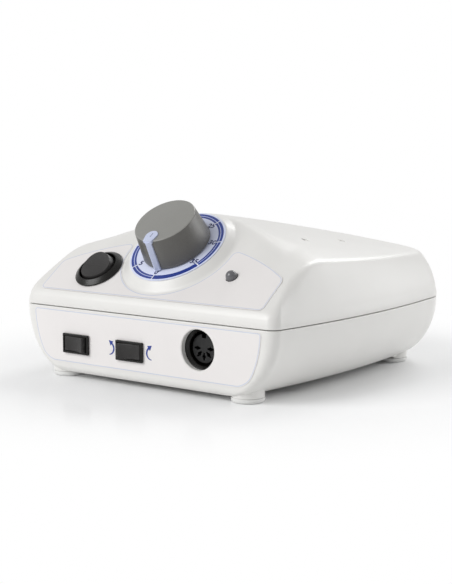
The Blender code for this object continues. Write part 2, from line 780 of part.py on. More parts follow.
def housing_posts():
    pieces = []
    for number, (x, depth) in enumerate(POST_PLACES):
        height = SEAM_Z - SEAM_GAP - UNDERSIDE_Z - SINK
        place = at(x, FRONT_Y + depth, UNDERSIDE_Z + SINK)
        pieces.append(small_cylinder(f"case_post_{number}", POST_RADIUS, height, place))
    for number, (x, depth) in enumerate(FOOT_PLACES):
        place = at(x, FRONT_Y + depth, UNDERSIDE_Z - GAP)
        radius = FOOT_RADIUS + FOOT_PAD_EDGE
        pieces.append(cylinder(f"foot_pad_{number}", radius, FOOT_PAD_RISE, place))
    for number, (x, depth) in enumerate(BOARD_PLACES):
        height = BOARD_Z - GAP - FLOOR_Z + SINK
        place = at(x, FRONT_Y + depth, FLOOR_Z - SINK)
        pieces.append(small_cylinder(f"board_post_{number}", BOARD_POST_RADIUS, height, place))
    for number, (x, depth) in enumerate(CLAMP_PLACES):
        height = PLINTH_Z - FLOOR_Z + SINK
        place = at(x, FRONT_Y + depth, FLOOR_Z - SINK)
        pieces.append(small_cylinder(f"clamp_post_{number}", CLAMP_POST_RADIUS, height, place))
    return pieces


def housing_holes():
    cutters = []
    for number, (x, depth) in enumerate(POST_PLACES):
        below = at(x, FRONT_Y + depth, UNDERSIDE_Z - OVERRUN)
        bore = SCREW_SEAT_Z - UNDERSIDE_Z + OVERRUN
        cutters.append(
            small_cylinder(f"head_bore_{number}", SCREW_HEAD_RADIUS + GAP, bore, below)
        )
        length = SEAM_Z + OVERRUN - UNDERSIDE_Z
        cutters.append(small_cylinder(f"shank_bore_{number}", SCREW_PILOT, length, below))
    for number, (x, depth) in enumerate(FOOT_PLACES):
        below = at(x, FRONT_Y + depth, UNDERSIDE_Z - OVERRUN)
        length = FOOT_STEM_RISE + OVERRUN + GAP
        cutters.append(
            small_cylinder(f"stem_bore_{number}", FOOT_STEM_RADIUS + GAP, length, below)
        )
    for number, (x, depth) in enumerate(BOARD_PLACES + CLAMP_PLACES):
        start = at(x, FRONT_Y + depth, FLOOR_Z)
        cutters.append(
            small_cylinder(f"pilot_{number}", BOARD_SCREW_RADIUS + GAP, BOARD_Z, start)
        )
    for name, x in (("mode", MODE_X), ("direction", DIRECTION_X)):
        size = (SWITCH_BODY_LENGTH + 2.0 * GAP, 2.0 * WALL + 2.0 * OVERRUN, SWITCH_BODY_HEIGHT + 2.0 * GAP)
        cutters.append(block(name + "_opening", size, (x, FRONT_Y, SWITCH_Z)))
    socket_place = on_front(SOCKET_X, SOCKET_Z, WALL + OVERRUN)
    cutters.append(cylinder("socket_opening", SOCKET_HOLE, WALL + 2.0 * OVERRUN, socket_place))
    body = (INLET_BODY[0] + 2.0 * GAP, 2.0 * WALL + 2.0 * OVERRUN, INLET_BODY[1] + 2.0 * GAP)
    cutters.append(block("inlet_opening", body, (INLET_X, REAR_Y, REAR_Z)))
    through = WALL + 2.0 * OVERRUN
    for name, x, radius in (
        ("fuse_opening", FUSE_X, FUSE_BODY_RADIUS + GAP),
        ("jack_opening", JACK_X, JACK_BUSH_RADIUS + GAP),
    ):
        cutters.append(cylinder(name, radius, through, on_rear(x, REAR_Z, WALL + OVERRUN)))
    return cutters


def socket_collar():
    """The moulded collar behind the front wall that the motor socket sits in."""
    outer = SOCKET_SHELL_RADIUS + GAP + SOCKET_COLLAR_WALL
    length = SOCKET_COLLAR_DEPTH + SINK
    collar = cylinder("socket_collar", outer, length, on_front(SOCKET_X, SOCKET_Z, WALL - SINK + length))
    bore = cylinder(
        "socket_collar_bore",
        SOCKET_SHELL_RADIUS + GAP,
        SOCKET_COLLAR_DEPTH + OVERRUN,
        on_front(SOCKET_X, SOCKET_Z, WALL + SOCKET_COLLAR_DEPTH + OVERRUN),
    )
    return collar, bore


def lower_housing():
    housing = housing_skin()
    solidify(housing, WALL)
    join(housing, tongue())
    join(housing, *housing_posts())
    plinth_size = (
        CORE_THICK - 2.0 * PLINTH_INSET,
        CORE_LENGTH - 2.0 * PLINTH_INSET,
        PLINTH_Z - FLOOR_Z + SINK,
    )
    plinth_z = PLINTH_Z - plinth_size[2] / 2.0
    join(housing, block("plinth", plinth_size, (CORE_X, FRONT_Y + CORE_MIDDLE, plinth_z)))
    collar, bore = socket_collar()
    join(housing, collar)
    cut(housing, bore)
    cut(housing, *housing_holes())
    return smooth(housing)


# Upper cover
def lowest_over(x, depth, radius):
    heights = []
    for step in range(SMALL_SEGMENTS):
        angle = math.radians(360.0) * step / SMALL_SEGMENTS
        heights.append(cover_height(x + radius * math.cos(angle), depth + radius * math.sin(angle)))
    return min(heights)


def upper_cover():
    cover = loft("upper_cover", cover_rings(), WHITE_CASE)
    solidify(cover, WALL)
    boss_profile = (
        (0.0, BOSS_RISE),
        (BOSS_RADIUS, BOSS_RISE),
        (BOSS_FOOT_RADIUS, 0.0),
        (BOSS_FOOT_RADIUS, -BOSS_ROOT),
        (0.0, -BOSS_ROOT),
    )
    join(cover, turned("dial_boss", boss_profile, on_panel(0.0, DIAL_SLOPE, 0.0), None, FINE_SEGMENTS))
    pocket_depth = WALL + BOSS_ROOT + POT_LENGTH
    pocket_place = on_panel(0.0, DIAL_SLOPE, BOSS_RISE - WALL - pocket_depth)
    cut(cover, cylinder("boss_pocket", BOSS_RADIUS - SINK, pocket_depth, pocket_place))
    for number, (x, depth) in enumerate(POST_PLACES):
        foot = SEAM_Z + SEAM_GAP
        height = lowest_over(x, depth, COVER_POST_RADIUS) - WALL / 2.0 - foot
        place = at(x, FRONT_Y + depth, foot)
        post = small_cylinder(f"cover_post_{number}", COVER_POST_RADIUS, height, place)
        join(cover, post)
        pilot_place = at(x, FRONT_Y + depth, foot - OVERRUN)
        length = SCREW_THREAD + OVERRUN + GAP
        cut(cover, small_cylinder(f"cover_pilot_{number}", SCREW_PILOT, length, pilot_place))
    through = 2.0 * OVERRUN + BOSS_RISE + WALL
    shaft_place = on_panel(0.0, DIAL_SLOPE, BOSS_RISE + OVERRUN - through)
    bush_hole = SHAFT_RADIUS + GAP + BUSH_WALL + GAP
    cut(cover, small_cylinder("bush_hole", bush_hole, through, shaft_place))
    power_place = on_panel(POWER_X, POWER_SLOPE, OVERRUN - through)
    cut(cover, cylinder("power_hole", POWER_BODY_RADIUS + GAP, through, power_place))
    light_place = on_panel(LIGHT_X, LIGHT_SLOPE, OVERRUN - through)
    cut(cover, small_cylinder("light_hole", LIGHT_RADIUS + GAP, through, light_place))
    for number, depth in enumerate(REST_HOLE_DEPTHS):
        floor = cover_height(REST_HOLE_X, depth) - REST_HOLE_SINK
        place = at(REST_HOLE_X, FRONT_Y + depth, floor)
        length = REST_HOLE_SINK + OVERRUN
        cut(cover, small_cylinder(f"rest_hole_{number}", REST_HOLE_RADIUS, length, place))
    return smooth(cover)


# Labels
def front_label():
    """Printed film on the front, narrower towards the bottom as the case is."""
    side = []
    for step in range(FRONT_LABEL_STEPS + 1):
        share = step / FRONT_LABEL_STEPS
        z = FRONT_LABEL_BOTTOM_Z + (FRONT_LABEL_TOP_Z - FRONT_LABEL_BOTTOM_Z) * share
        round_off = max(LABEL_CORNER - (z - FRONT_LABEL_BOTTOM_Z), 0.0)
        side.append((FRONT_LABEL_HALF - FRONT_LABEL_TAPER * hull_inset(z) - round_off, z))
    outline = side + [(-x, z) for x, z in reversed(side)]
    label = prism("front_label", outline, FILM_THICK, on_front(0.0, 0.0, -FILM_GAP), FILM)
    reach = FILM_GAP + FILM_THICK + OVERRUN
    for name, x in (("mode", MODE_X), ("direction", DIRECTION_X)):
        size = (SWITCH_BODY_LENGTH + 2.0 * GAP, 2.0 * reach, SWITCH_BODY_HEIGHT + 2.0 * GAP)
        cut(label, block(name + "_label_opening", size, (x, FRONT_Y, SWITCH_Z)))
    hole = cylinder("socket_label_hole", SOCKET_HOLE + GAP, 2.0 * reach, on_front(SOCKET_X, SOCKET_Z, reach))
    cut(label, hole)
    return label


def panel_arch(x):
    """Way up the slope of the label's arched upper edge."""
    return PANEL_LABEL_PEAK - PANEL_LABEL_ARCH + math.sqrt(PANEL_LABEL_ARCH**2 - x * x)


def control_label():
    """Printed film on the sloped panel, arched above and cut out round the dial boss."""
    cut_radius = BOSS_FOOT_RADIUS + PANEL_LABEL_BOSS_MARGIN
    inner = cut_radius + PANEL_LABEL_TIP
    right = [(PANEL_LABEL_HALF - LABEL_CORNER, PANEL_LABEL_BOTTOM)]
    right.append((PANEL_LABEL_HALF, PANEL_LABEL_BOTTOM + LABEL_CORNER))
    right.append((PANEL_LABEL_HALF, panel_arch(PANEL_LABEL_HALF) - LABEL_CORNER))
    for step in range(PANEL_LABEL_STEPS + 1):
        outer = PANEL_LABEL_HALF - LABEL_CORNER / 2.0
        x = outer + (inner - outer) * step / PANEL_LABEL_STEPS
        right.append((x, panel_arch(x)))
    right.append((cut_radius, panel_arch(inner) - PANEL_LABEL_TIP))
    notch = []
    for step in range(1, 2 * PANEL_LABEL_STEPS):
        angle = math.radians(180.0) * step / (2 * PANEL_LABEL_STEPS)
        notch.append((cut_radius * math.cos(angle), DIAL_SLOPE - cut_radius * math.sin(angle)))
    left = [(-x, slope) for x, slope in reversed(right)]
    label = prism("control_label", right + notch + left, FILM_THICK, on_panel(0.0, 0.0, FILM_GAP), FILM)
    reach = FILM_THICK + 2.0 * OVERRUN
    power_place = on_panel(POWER_X, POWER_SLOPE, -OVERRUN)
    power = cylinder("power_label_hole", POWER_BODY_RADIUS + GAP, reach, power_place)
    light_place = on_panel(LIGHT_X, LIGHT_SLOPE, -OVERRUN)
    light = cylinder("light_label_hole", LIGHT_RADIUS + GAP, reach, light_place)
    cut(label, power, light)
    return label


def dial_plate():
    outer = BOSS_RADIUS - PLATE_INSET
    low = FILM_GAP
    high = FILM_GAP + PLATE_THICK
    profile = ((PLATE_HOLE, high), (outer, high), (outer, low), (PLATE_HOLE, low))
    place = on_panel(0.0, DIAL_SLOPE, BOSS_RISE)
    return smooth(turned("dial_plate", profile, place, DIAL_FILM, FINE_SEGMENTS))


# Speed knob and potentiometer
PLATE_TOP = FILM_GAP + PLATE_THICK
WASHER_LOW = PLATE_TOP + FILM_GAP
NUT_LOW = WASHER_LOW + WASHER_THICK + GAP
HUB_LOW = NUT_LOW + NUT_THICK + KNOB_HUB_LIFT
KNOB_LOW = PLATE_TOP + KNOB_LIFT
BUSH_BORE = SHAFT_RADIUS + GAP
BUSH_RADIUS = BUSH_BORE + BUSH_WALL
SHAFT_TOP = KNOB_TOP - KNOB_CEILING - GAP


def knob_radius(rise):
    share = (rise - KNOB_LOW) / (KNOB_TOP - KNOB_LOW)
    return KNOB_BASE_RADIUS + (KNOB_TOP_RADIUS - KNOB_BASE_RADIUS) * share


def pointer_bar(name, clearance, finish=None):
    """The part of the pointer that runs down the flank: a bar with a ridge along its middle."""
    rings = []
    low = KNOB_LOW - (OVERRUN if clearance else 0.0)
    high = KNOB_TOP - KNOB_EDGE if clearance == 0.0 else KNOB_TOP + OVERRUN
    for rise, toe in ((low, POINTER_TOE), (high, 0.0)):
        skin = knob_radius(rise)
        back = skin - POINTER_SINK - clearance
        shoulder = skin + POINTER_PROUD / 2.0 + toe + (OVERRUN if clearance else 0.0)
        ridge = shoulder + POINTER_RIDGE
        half = POINTER_BAR_WIDTH / 2.0 + clearance
        section = ((-half, back), (half, back), (half, shoulder), (0.0, ridge), (-half, shoulder))
        rings.append([Vector((x, -radius, rise)) for x, radius in section])
    bar = loft(name, rings, finish, close_first=True, close_last=True)
    bar.data.transform(on_panel(0.0, DIAL_SLOPE, BOSS_RISE))
    return bar


def pointer_pad(name, clearance, finish=None):
    """The part of the pointer on the knob's top: a strip with a round inner end."""
    half = POINTER_PAD_WIDTH / 2.0 + clearance
    inner = POINTER_INNER + POINTER_PAD_WIDTH / 2.0
    outer = KNOB_TOP_RADIUS + POINTER_PROUD + (OVERRUN if clearance else 0.0)
    outline = [(half, -outer), (half, -inner)]
    for step in range(1, SMALL_SEGMENTS // 2):
        angle = math.radians(180.0) * step / (SMALL_SEGMENTS // 2)
        outline.append((half * math.cos(angle), half * math.sin(angle) - inner))
    outline.extend([(-half, -inner), (-half, -outer)])
    floor = KNOB_TOP - POINTER_SINK - clearance
    height = POINTER_SINK + POINTER_PROUD + clearance + (OVERRUN if clearance else 0.0)
    return prism(name, outline, height, on_panel(0.0, DIAL_SLOPE, BOSS_RISE + floor), finish)


def knob_pointer():
    pointer = pointer_pad("knob_pointer", 0.0, POINTER_WHITE)
    join(pointer, pointer_bar("pointer_flank", 0.0))
    return pointer


def speed_knob():
    ceiling = KNOB_TOP - KNOB_CEILING
    hub = BUSH_BORE + HUB_WALL
    profile = (
        (0.0, KNOB_TOP),
        (KNOB_TOP_RADIUS - KNOB_EDGE, KNOB_TOP),
        (KNOB_TOP_RADIUS, KNOB_TOP - KNOB_EDGE),
        (KNOB_BASE_RADIUS, KNOB_LOW),
        (KNOB_BASE_RADIUS - KNOB_WALL, KNOB_LOW),
        (KNOB_TOP_RADIUS - KNOB_WALL, ceiling),
        (hub, ceiling),
        (hub, HUB_LOW),
        (BUSH_BORE, HUB_LOW),
        (BUSH_BORE, ceiling),
        (0.0, ceiling),
    )
    place = on_panel(0.0, DIAL_SLOPE, BOSS_RISE)
    knob = turned("speed_knob", profile, place, GREY_KNOB, FINE_SEGMENTS)
    cut(knob, pointer_pad("pointer_pad_seat", FILM_GAP), pointer_bar("pointer_bar_seat", FILM_GAP))
    return smooth(knob)


def potentiometer():
    top = -WALL - GAP
    base = top - POT_LENGTH
    seat = top - SHAFT_SEAT
    profile = (
        (BUSH_BORE, BUSH_RISE),
        (BUSH_RADIUS, BUSH_RISE),
        (BUSH_RADIUS, top),
        (POT_RADIUS, top),
        (POT_RADIUS, base),
        (0.0, base),
        (0.0, seat),
        (BUSH_BORE, seat),
    )
    place = on_panel(0.0, DIAL_SLOPE, BOSS_RISE)
    body = turned("pot_body", ((0.0, seat),) + ((BUSH_BORE, seat),) + profile[0:6], place, STEEL)
    smooth(body)
    shaft_low = seat + GAP
    shaft_place = on_panel(0.0, DIAL_SLOPE, BOSS_RISE + shaft_low)
    smooth(cylinder("pot_shaft", SHAFT_RADIUS, SHAFT_TOP - shaft_low, shaft_place, STEEL, SMALL_SEGMENTS))
    bore = BUSH_RADIUS + GAP
    high = WASHER_LOW + WASHER_THICK
    washer = ((bore, high), (WASHER_RADIUS, high), (WASHER_RADIUS, WASHER_LOW), (bore, WASHER_LOW))
    smooth(turned("pot_washer", washer, place, STEEL, SMALL_SEGMENTS))
    nut_place = on_panel(0.0, DIAL_SLOPE, BOSS_RISE + NUT_LOW)
    nut = cylinder("pot_nut", NUT_RADIUS, NUT_THICK, nut_place, STEEL, NUT_SIDES)
    bore_place = on_panel(0.0, DIAL_SLOPE, BOSS_RISE + NUT_LOW - OVERRUN)
    cut(nut, small_cylinder("pot_nut_bore", bore, NUT_THICK + 2.0 * OVERRUN, bore_place))


# Round power switch
def power_switch():
    low = FILM_TOP + FILM_GAP
    rim = low + POWER_BEZEL_RISE
    base = -POWER_BODY_LENGTH
    floor = -POWER_WELL_DEPTH
    profile = (
        (0.0, floor),
        (POWER_WELL_RADIUS, floor),
        (POWER_WELL_RADIUS, rim),
        (POWER_WELL_RADIUS + POWER_BEZEL_LIP, rim),
        (POWER_BEZEL_RADIUS, low + POWER_BEZEL_LIP),
        (POWER_BEZEL_RADIUS, low),
        (POWER_BODY_RADIUS, low),
        (POWER_BODY_RADIUS, base),
        (0.0, base),
    )
    place = on_panel(POWER_X, POWER_SLOPE, 0.0)
    body = turned("power_switch_body", profile, place, BLACK_PLASTIC)
    pivot = place @ at(0.0, 0.0, -POWER_PIVOT_DEPTH)
    across = Matrix.Rotation(math.radians(90.0), 4, "Y")
    reach = POWER_BODY_RADIUS + OVERRUN
    bore = pivot @ across @ at(0.0, 0.0, -reach)
    cut(body, small_cylinder("power_pivot_bore", TRUNNION_RADIUS + GAP, 2.0 * reach, bore))
    smooth(body)
    tilt = Matrix.Rotation(POWER_TILT, 4, "X")
    rocker = power_rocker(pivot @ tilt)
    trunnion_reach = POWER_WELL_RADIUS + GAP
    trunnion_place = pivot @ tilt @ across @ at(0.0, 0.0, -trunnion_reach)
    pin = small_cylinder("power_trunnion", TRUNNION_RADIUS, 2.0 * trunnion_reach, trunnion_place)
    join(rocker, pin)
    return smooth(rocker, 30.0)


def power_rocker(place):
    """A disc with a dished top and a keel below, narrower above so that it can tilt in its well."""
    radius = POWER_WELL_RADIUS - GAP
    top = POWER_ROCKER_TOP + POWER_PIVOT_DEPTH
    keel = POWER_ROCKER_SKIRT + POWER_ROCKER_KEEL
    upper = radius - POWER_ROCKER_TAPER
    profile = ((0.0, top), (upper, top), (radius, 0.0), (radius, -POWER_ROCKER_SKIRT))
    profile = profile + ((radius / 2.0, -keel), (0.0, -keel))
    rocker = turned("power_rocker", profile, place, BLACK_PLASTIC)
    dish_radius = (radius**2 + POWER_ROCKER_DISH**2) / (2.0 * POWER_ROCKER_DISH)
    across = Matrix.Rotation(math.radians(90.0), 4, "Y")
    dish_place = place @ at(0.0, 0.0, top - POWER_ROCKER_DISH + dish_radius) @ across @ at(0.0, 0.0, -radius)
    dish = cylinder("power_rocker_dish", dish_radius, 2.0 * radius, dish_place, segments=2 * FINE_SEGMENTS)
    cut(rocker, dish)
    return rocker


# Rectangular rocker switches
def front_switch(name, x, tilt):
    """A switch body and its paddle, which pivots on a pin across the switch, from top to bottom."""
    well_length = SWITCH_BODY_LENGTH - 2.0 * SWITCH_CHEEK
    well_height = SWITCH_BODY_HEIGHT - 2.0 * SWITCH_CHEEK
    flange_y = FRONT_Y - FILM_TOP - FILM_GAP - SWITCH_FLANGE / 2.0
    flange_size = (SWITCH_LENGTH, SWITCH_FLANGE, SWITCH_HEIGHT)
    body = block(name + "_switch_body", flange_size, (x, flange_y, SWITCH_Z), BLACK_PLASTIC)
    front = -FILM_TOP - FILM_GAP - SWITCH_FLANGE / 2.0
    trunk_size = (SWITCH_BODY_LENGTH, SWITCH_BODY_DEPTH - front, SWITCH_BODY_HEIGHT)
    trunk_y = FRONT_Y + (SWITCH_BODY_DEPTH + front) / 2.0
    join(body, block(name + "_trunk", trunk_size, (x, trunk_y, SWITCH_Z)))
    mouth = -SWITCH_REACH - OVERRUN
    well_size = (well_length, SWITCH_WELL_DEPTH - mouth, well_height)
    well_y = FRONT_Y + (SWITCH_WELL_DEPTH + mouth) / 2.0
    cut(body, block(name + "_well", well_size, (x, well_y, SWITCH_Z)))
    pivot_y = FRONT_Y + SWITCH_PIVOT_DEPTH
    reach = SWITCH_BODY_HEIGHT / 2.0 + OVERRUN
    bore_place = at(x, pivot_y, SWITCH_Z - reach)
    bore_radius = TRUNNION_RADIUS + TRUNNION_GAP
    cut(body, small_cylinder(name + "_pivot_bore", bore_radius, 2.0 * reach, bore_place))
    paddle_half = well_height / 2.0 - GAP
    outline = (
        (-PADDLE_END, -PADDLE_SKIRT),
        (0.0, -PADDLE_KEEL),
        (PADDLE_END, -PADDLE_SKIRT),
        (PADDLE_END - PADDLE_TAPER, PADDLE_RISE),
        (PADDLE_END / 2.0, PADDLE_RISE - PADDLE_DISH),
        (-PADDLE_END / 2.0, PADDLE_RISE - PADDLE_DISH),
        (PADDLE_TAPER - PADDLE_END, PADDLE_RISE),
    )
    swing = Matrix.Rotation(tilt, 4, "Z")
    outward = Matrix.Scale(-1.0, 4, Vector((0.0, 1.0, 0.0)))
    place = at(x, pivot_y, SWITCH_Z) @ swing @ outward @ at(0.0, 0.0, -paddle_half)
    paddle = prism(name + "_rocker", outline, 2.0 * paddle_half, place, BLACK_PLASTIC)
    pin_half = paddle_half + TRUNNION_REACH
    pin_place = at(x, pivot_y, SWITCH_Z - pin_half)
    join(paddle, small_cylinder(name + "_trunnion", TRUNNION_RADIUS, 2.0 * pin_half, pin_place))
    return body, paddle


# Motor socket
def motor_socket():
    place = on_front(SOCKET_X, SOCKET_Z, WALL + GAP)
    back = -SOCKET_SHELL_LENGTH
    well = back + SOCKET_SHELL_BACK
    profile = (
        (0.0, well),
        (SOCKET_SHELL_BORE, well),
        (SOCKET_SHELL_BORE, -SOCKET_SHELL_CHAMFER),
        (SOCKET_SHELL_MOUTH, 0.0),
        (SOCKET_SHELL_RADIUS, 0.0),
        (SOCKET_SHELL_RADIUS, back),
        (0.0, back),
    )
    smooth(turned("motor_socket_shell", profile, place, BLACK_PLASTIC))
    face = WALL + GAP - SOCKET_INSERT_DEPTH
    length = face - well - GAP
    insert_place = place @ at(0.0, 0.0, well + GAP)
    insert = cylinder("motor_socket_insert", SOCKET_INSERT_RADIUS, length, insert_place, DARK_PLASTIC)
    for number in range(CONTACT_COUNT):
        angle = math.radians(180.0) * (1.0 + number / (CONTACT_COUNT - 1))
        spoke = place @ Matrix.Rotation(angle, 4, "Z") @ at(CONTACT_CIRCLE, 0.0, face - CONTACT_DEPTH)
        depth = CONTACT_DEPTH + OVERRUN
        cut(insert, cylinder(f"contact_hole_{number}", CONTACT_HOLE, depth, spoke, segments=LEAST_SEGMENTS))
        slot_half = CONTACT_SLOT_LENGTH / 2.0
        slot = (
            (-slot_half, -CONTACT_SLOT_WIDTH / 2.0),
            (slot_half, -CONTACT_SLOT_WIDTH / 2.0),
            (slot_half, CONTACT_SLOT_WIDTH / 2.0),
            (-slot_half, CONTACT_SLOT_WIDTH / 2.0),
        )
        cut(insert, prism(f"contact_slot_{number}", slot, depth, spoke))
    key_half = KEY_WIDTH / 2.0
    key_low = SOCKET_INSERT_RADIUS - KEY_HEIGHT
    key = (
        (-key_half, key_low),
        (key_half, key_low),
        (key_half, SOCKET_INSERT_RADIUS + OVERRUN),
        (-key_half, SOCKET_INSERT_RADIUS + OVERRUN),
    )
    cut(insert, prism("key_notch", key, CONTACT_DEPTH + OVERRUN, place @ at(0.0, 0.0, face - CONTACT_DEPTH)))
    smooth(insert)
    inner = SOCKET_SHELL_RADIUS + GAP
    outer = inner + SOCKET_COLLAR_WALL
    high = -SOCKET_COLLAR_DEPTH
    low = high - SOCKET_RING_THICK
    ring = ((inner, high), (outer, high), (outer, low), (inner, low))
    smooth(turned("motor_socket_ring", ring, place, STEEL))


# Power light
def power_light():
    place = on_panel(LIGHT_X, LIGHT_SLOPE, 0.0)
    dome = [(0.0, LIGHT_SHOULDER + LIGHT_RADIUS)]
    for step in range(1, DOME_STEPS):
        angle = math.radians(90.0) * step / DOME_STEPS
        dome.append((LIGHT_RADIUS * math.sin(angle), LIGHT_SHOULDER + LIGHT_RADIUS * math.cos(angle)))
    dome.append((LIGHT_RADIUS, LIGHT_SHOULDER))
    flange_top = LIGHT_FLANGE_THICK - LIGHT_LENGTH
    dome.append((LIGHT_RADIUS, flange_top))
    dome.append((LIGHT_FLANGE_RADIUS, flange_top))
    dome.append((LIGHT_FLANGE_RADIUS, -LIGHT_LENGTH))
    dome.append((0.0, -LIGHT_LENGTH))
    smooth(turned("power_light", dome, place, CLEAR_LENS, SMALL_SEGMENTS))
    inner = LIGHT_FLANGE_RADIUS + GAP
    outer = inner + LIGHT_RING_WALL
    high = -WALL - GAP
    low = high - LIGHT_RING_LENGTH
    ring = ((inner, high), (outer, high), (outer, low), (inner, low))
    smooth(turned("power_light_holder", ring, place, BLACK_PLASTIC, SMALL_SEGMENTS))


# Feet and screws
def foot(number, x, depth):
    top = UNDERSIDE_Z - 2.0 * GAP
    profile = (
        (0.0, FOOT_STEM_RISE),
        (FOOT_STEM_RADIUS, FOOT_STEM_RISE),
        (FOOT_STEM_RADIUS, top),
        (FOOT_RADIUS, top),
        (FOOT_RADIUS, FOOT_ROUND),
        (FOOT_RADIUS - FOOT_ROUND, 0.0),
        (0.0, 0.0),
    )
    smooth(turned(f"foot_{number}", profile, at(x, FRONT_Y + depth, 0.0), WHITE_RUBBER))


def screw(name, place, radius, head_radius, head_height, length):
    """A pan-head screw along z: the head from z 0 up, and the shank below it, slotted on top."""
    profile = (
        (0.0, head_height),
        (head_radius * SCREW_FLAT_SHARE, head_height),
        (head_radius, head_height / 2.0),
        (head_radius, 0.0),
        (radius, 0.0),
        (radius, -length),
        (0.0, -length),
    )
    made = turned(name, profile, place, STEEL, SMALL_SEGMENTS)
    slot_size = (SCREW_SLOT, 2.0 * head_radius + OVERRUN, 2.0 * SCREW_SLOT_DEPTH)
    slot = block(name + "_slot", slot_size, (0.0, 0.0, head_height))
    slot.matrix_world = place
    cut(made, slot)
    return smooth(made)


def case_screw(number, x, depth):
    upside_down = Matrix.Rotation(math.radians(180.0), 4, "X")
    place = at(x, FRONT_Y + depth, SCREW_SEAT_Z - GAP) @ upside_down
    length = SCREW_GRIP + GAP + SEAM_GAP + SCREW_THREAD - GAP
    screw(f"case_screw_{number}", place, SCREW_RADIUS, SCREW_HEAD_RADIUS, SCREW_HEAD_HEIGHT, length)


# Circuit board
HEAT_SINK_MIDDLE = BOARD_LENGTH - BOARD_END - HEAT_SINK_SIZE[1] / 2.0


def board_place(across, along, lift=0.0):
    """A place on top of the board, from its left edge and its front end."""
    x = BOARD_LEFT + across
    y = FRONT_Y + BOARD_FRONT + along
    return Vector((x, y, BOARD_Z + BOARD_THICK + GAP + lift))


def on_board(name, size, across, along, finish):
    return block(name, size, board_place(across, along, size[2] / 2.0), finish)


def heat_sink():
    width, depth, height = HEAT_SINK_SIZE
    pitch = (width - HEAT_SINK_FIN) / (HEAT_SINK_FINS - 1)
    outline = [(-width / 2.0, depth / 2.0), (-width / 2.0, -depth / 2.0), (width / 2.0, -depth / 2.0)]
    outline.append((width / 2.0, depth / 2.0))
    back = HEAT_SINK_BACK - depth / 2.0
    for fin in range(HEAT_SINK_FINS - 1):
        right = width / 2.0 - HEAT_SINK_FIN - fin * pitch
        left = width / 2.0 - (fin + 1) * pitch
        outline.extend([(right, depth / 2.0), (right, back), (left, back), (left, depth / 2.0)])
    centre = board_place(BOARD_WIDTH / 2.0, HEAT_SINK_MIDDLE)
    prism("heat_sink", outline, height, Matrix.Translation(centre), ALUMINIUM)


def power_transistor():
    width, depth, height = TRANSISTOR_SIZE
    base = board_place(BOARD_WIDTH / 2.0, HEAT_SINK_MIDDLE)
    y = base.y - HEAT_SINK_SIZE[1] / 2.0 - GAP - depth / 2.0
    low = base.z + TRANSISTOR_LEG_RISE
    body = block("power_transistor", TRANSISTOR_SIZE, (base.x, y, low + height / 2.0), BLACK_PLASTIC)
    for number in (-1, 0, 1):
        size = (TRANSISTOR_LEG, TRANSISTOR_LEG, TRANSISTOR_LEG_RISE + SINK)
        x = base.x + number * TRANSISTOR_LEG_PITCH
        leg = block(f"transistor_leg_{number}", size, (x, y, base.z + size[2] / 2.0))
        join(body, leg)


def circuit_board():
    size = (BOARD_WIDTH, BOARD_LENGTH, BOARD_THICK)
    x = BOARD_LEFT + BOARD_WIDTH / 2.0
    y = FRONT_Y + BOARD_FRONT + BOARD_LENGTH / 2.0
    board = block("circuit_board", size, (x, y, BOARD_Z + BOARD_THICK / 2.0), BOARD_GREEN)
    for number, (hole_x, depth) in enumerate(BOARD_PLACES):
        place = at(hole_x, FRONT_Y + depth, BOARD_Z - OVERRUN)
        length = BOARD_THICK + 2.0 * OVERRUN
        hole = small_cylinder(f"board_hole_{number}", BOARD_SCREW_RADIUS + GAP, length, place)
        cut(board, hole)
        screw_place = at(hole_x, FRONT_Y + depth, BOARD_Z + BOARD_THICK + GAP)
        screw(
            f"board_screw_{number + 1}",
            screw_place,
            BOARD_SCREW_RADIUS,
            BOARD_SCREW_HEAD,
            BOARD_SCREW_HEAD_HEIGHT,
            BOARD_THICK + BOARD_SCREW_LENGTH,
        )
    front_row = BOARD_END + FRONT_ROW / 2.0
    for number in range(2):
        across = BOARD_EDGE + CAPACITOR_RADIUS + number * (2.0 * CAPACITOR_RADIUS + BOARD_SPACING)
        place = Matrix.Translation(board_place(across, front_row))
        name = f"smoothing_capacitor_{number + 1}"
        smooth(cylinder(name, CAPACITOR_RADIUS, CAPACITOR_HEIGHT, place, BLUE_SLEEVE))
    relay_across = BOARD_WIDTH - BOARD_EDGE - RELAY_SIZE[0] / 2.0
    on_board("direction_relay", RELAY_SIZE, relay_across, front_row, DARK_PLASTIC)
    middle_row = BOARD_END + FRONT_ROW + BOARD_SPACING + HEADER_SIZE[1] / 2.0
    rectifier_across = BOARD_EDGE + RECTIFIER_SIZE[0] / 2.0
    on_board("bridge_rectifier", RECTIFIER_SIZE, rectifier_across, middle_row, BLACK_PLASTIC)
    header_across = BOARD_WIDTH - BOARD_EDGE - HEADER_SIZE[0] / 2.0
    on_board("wire_header", HEADER_SIZE, header_across, middle_row, WHITE_CASE)
    chip_across = (rectifier_across + header_across + RECTIFIER_SIZE[0] / 2.0 - HEADER_SIZE[0] / 2.0) / 2.0
    on_board("motor_driver_chip", DRIVER_SIZE, chip_across, middle_row, BLACK_PLASTIC)
    heat_sink()
    power_transistor()


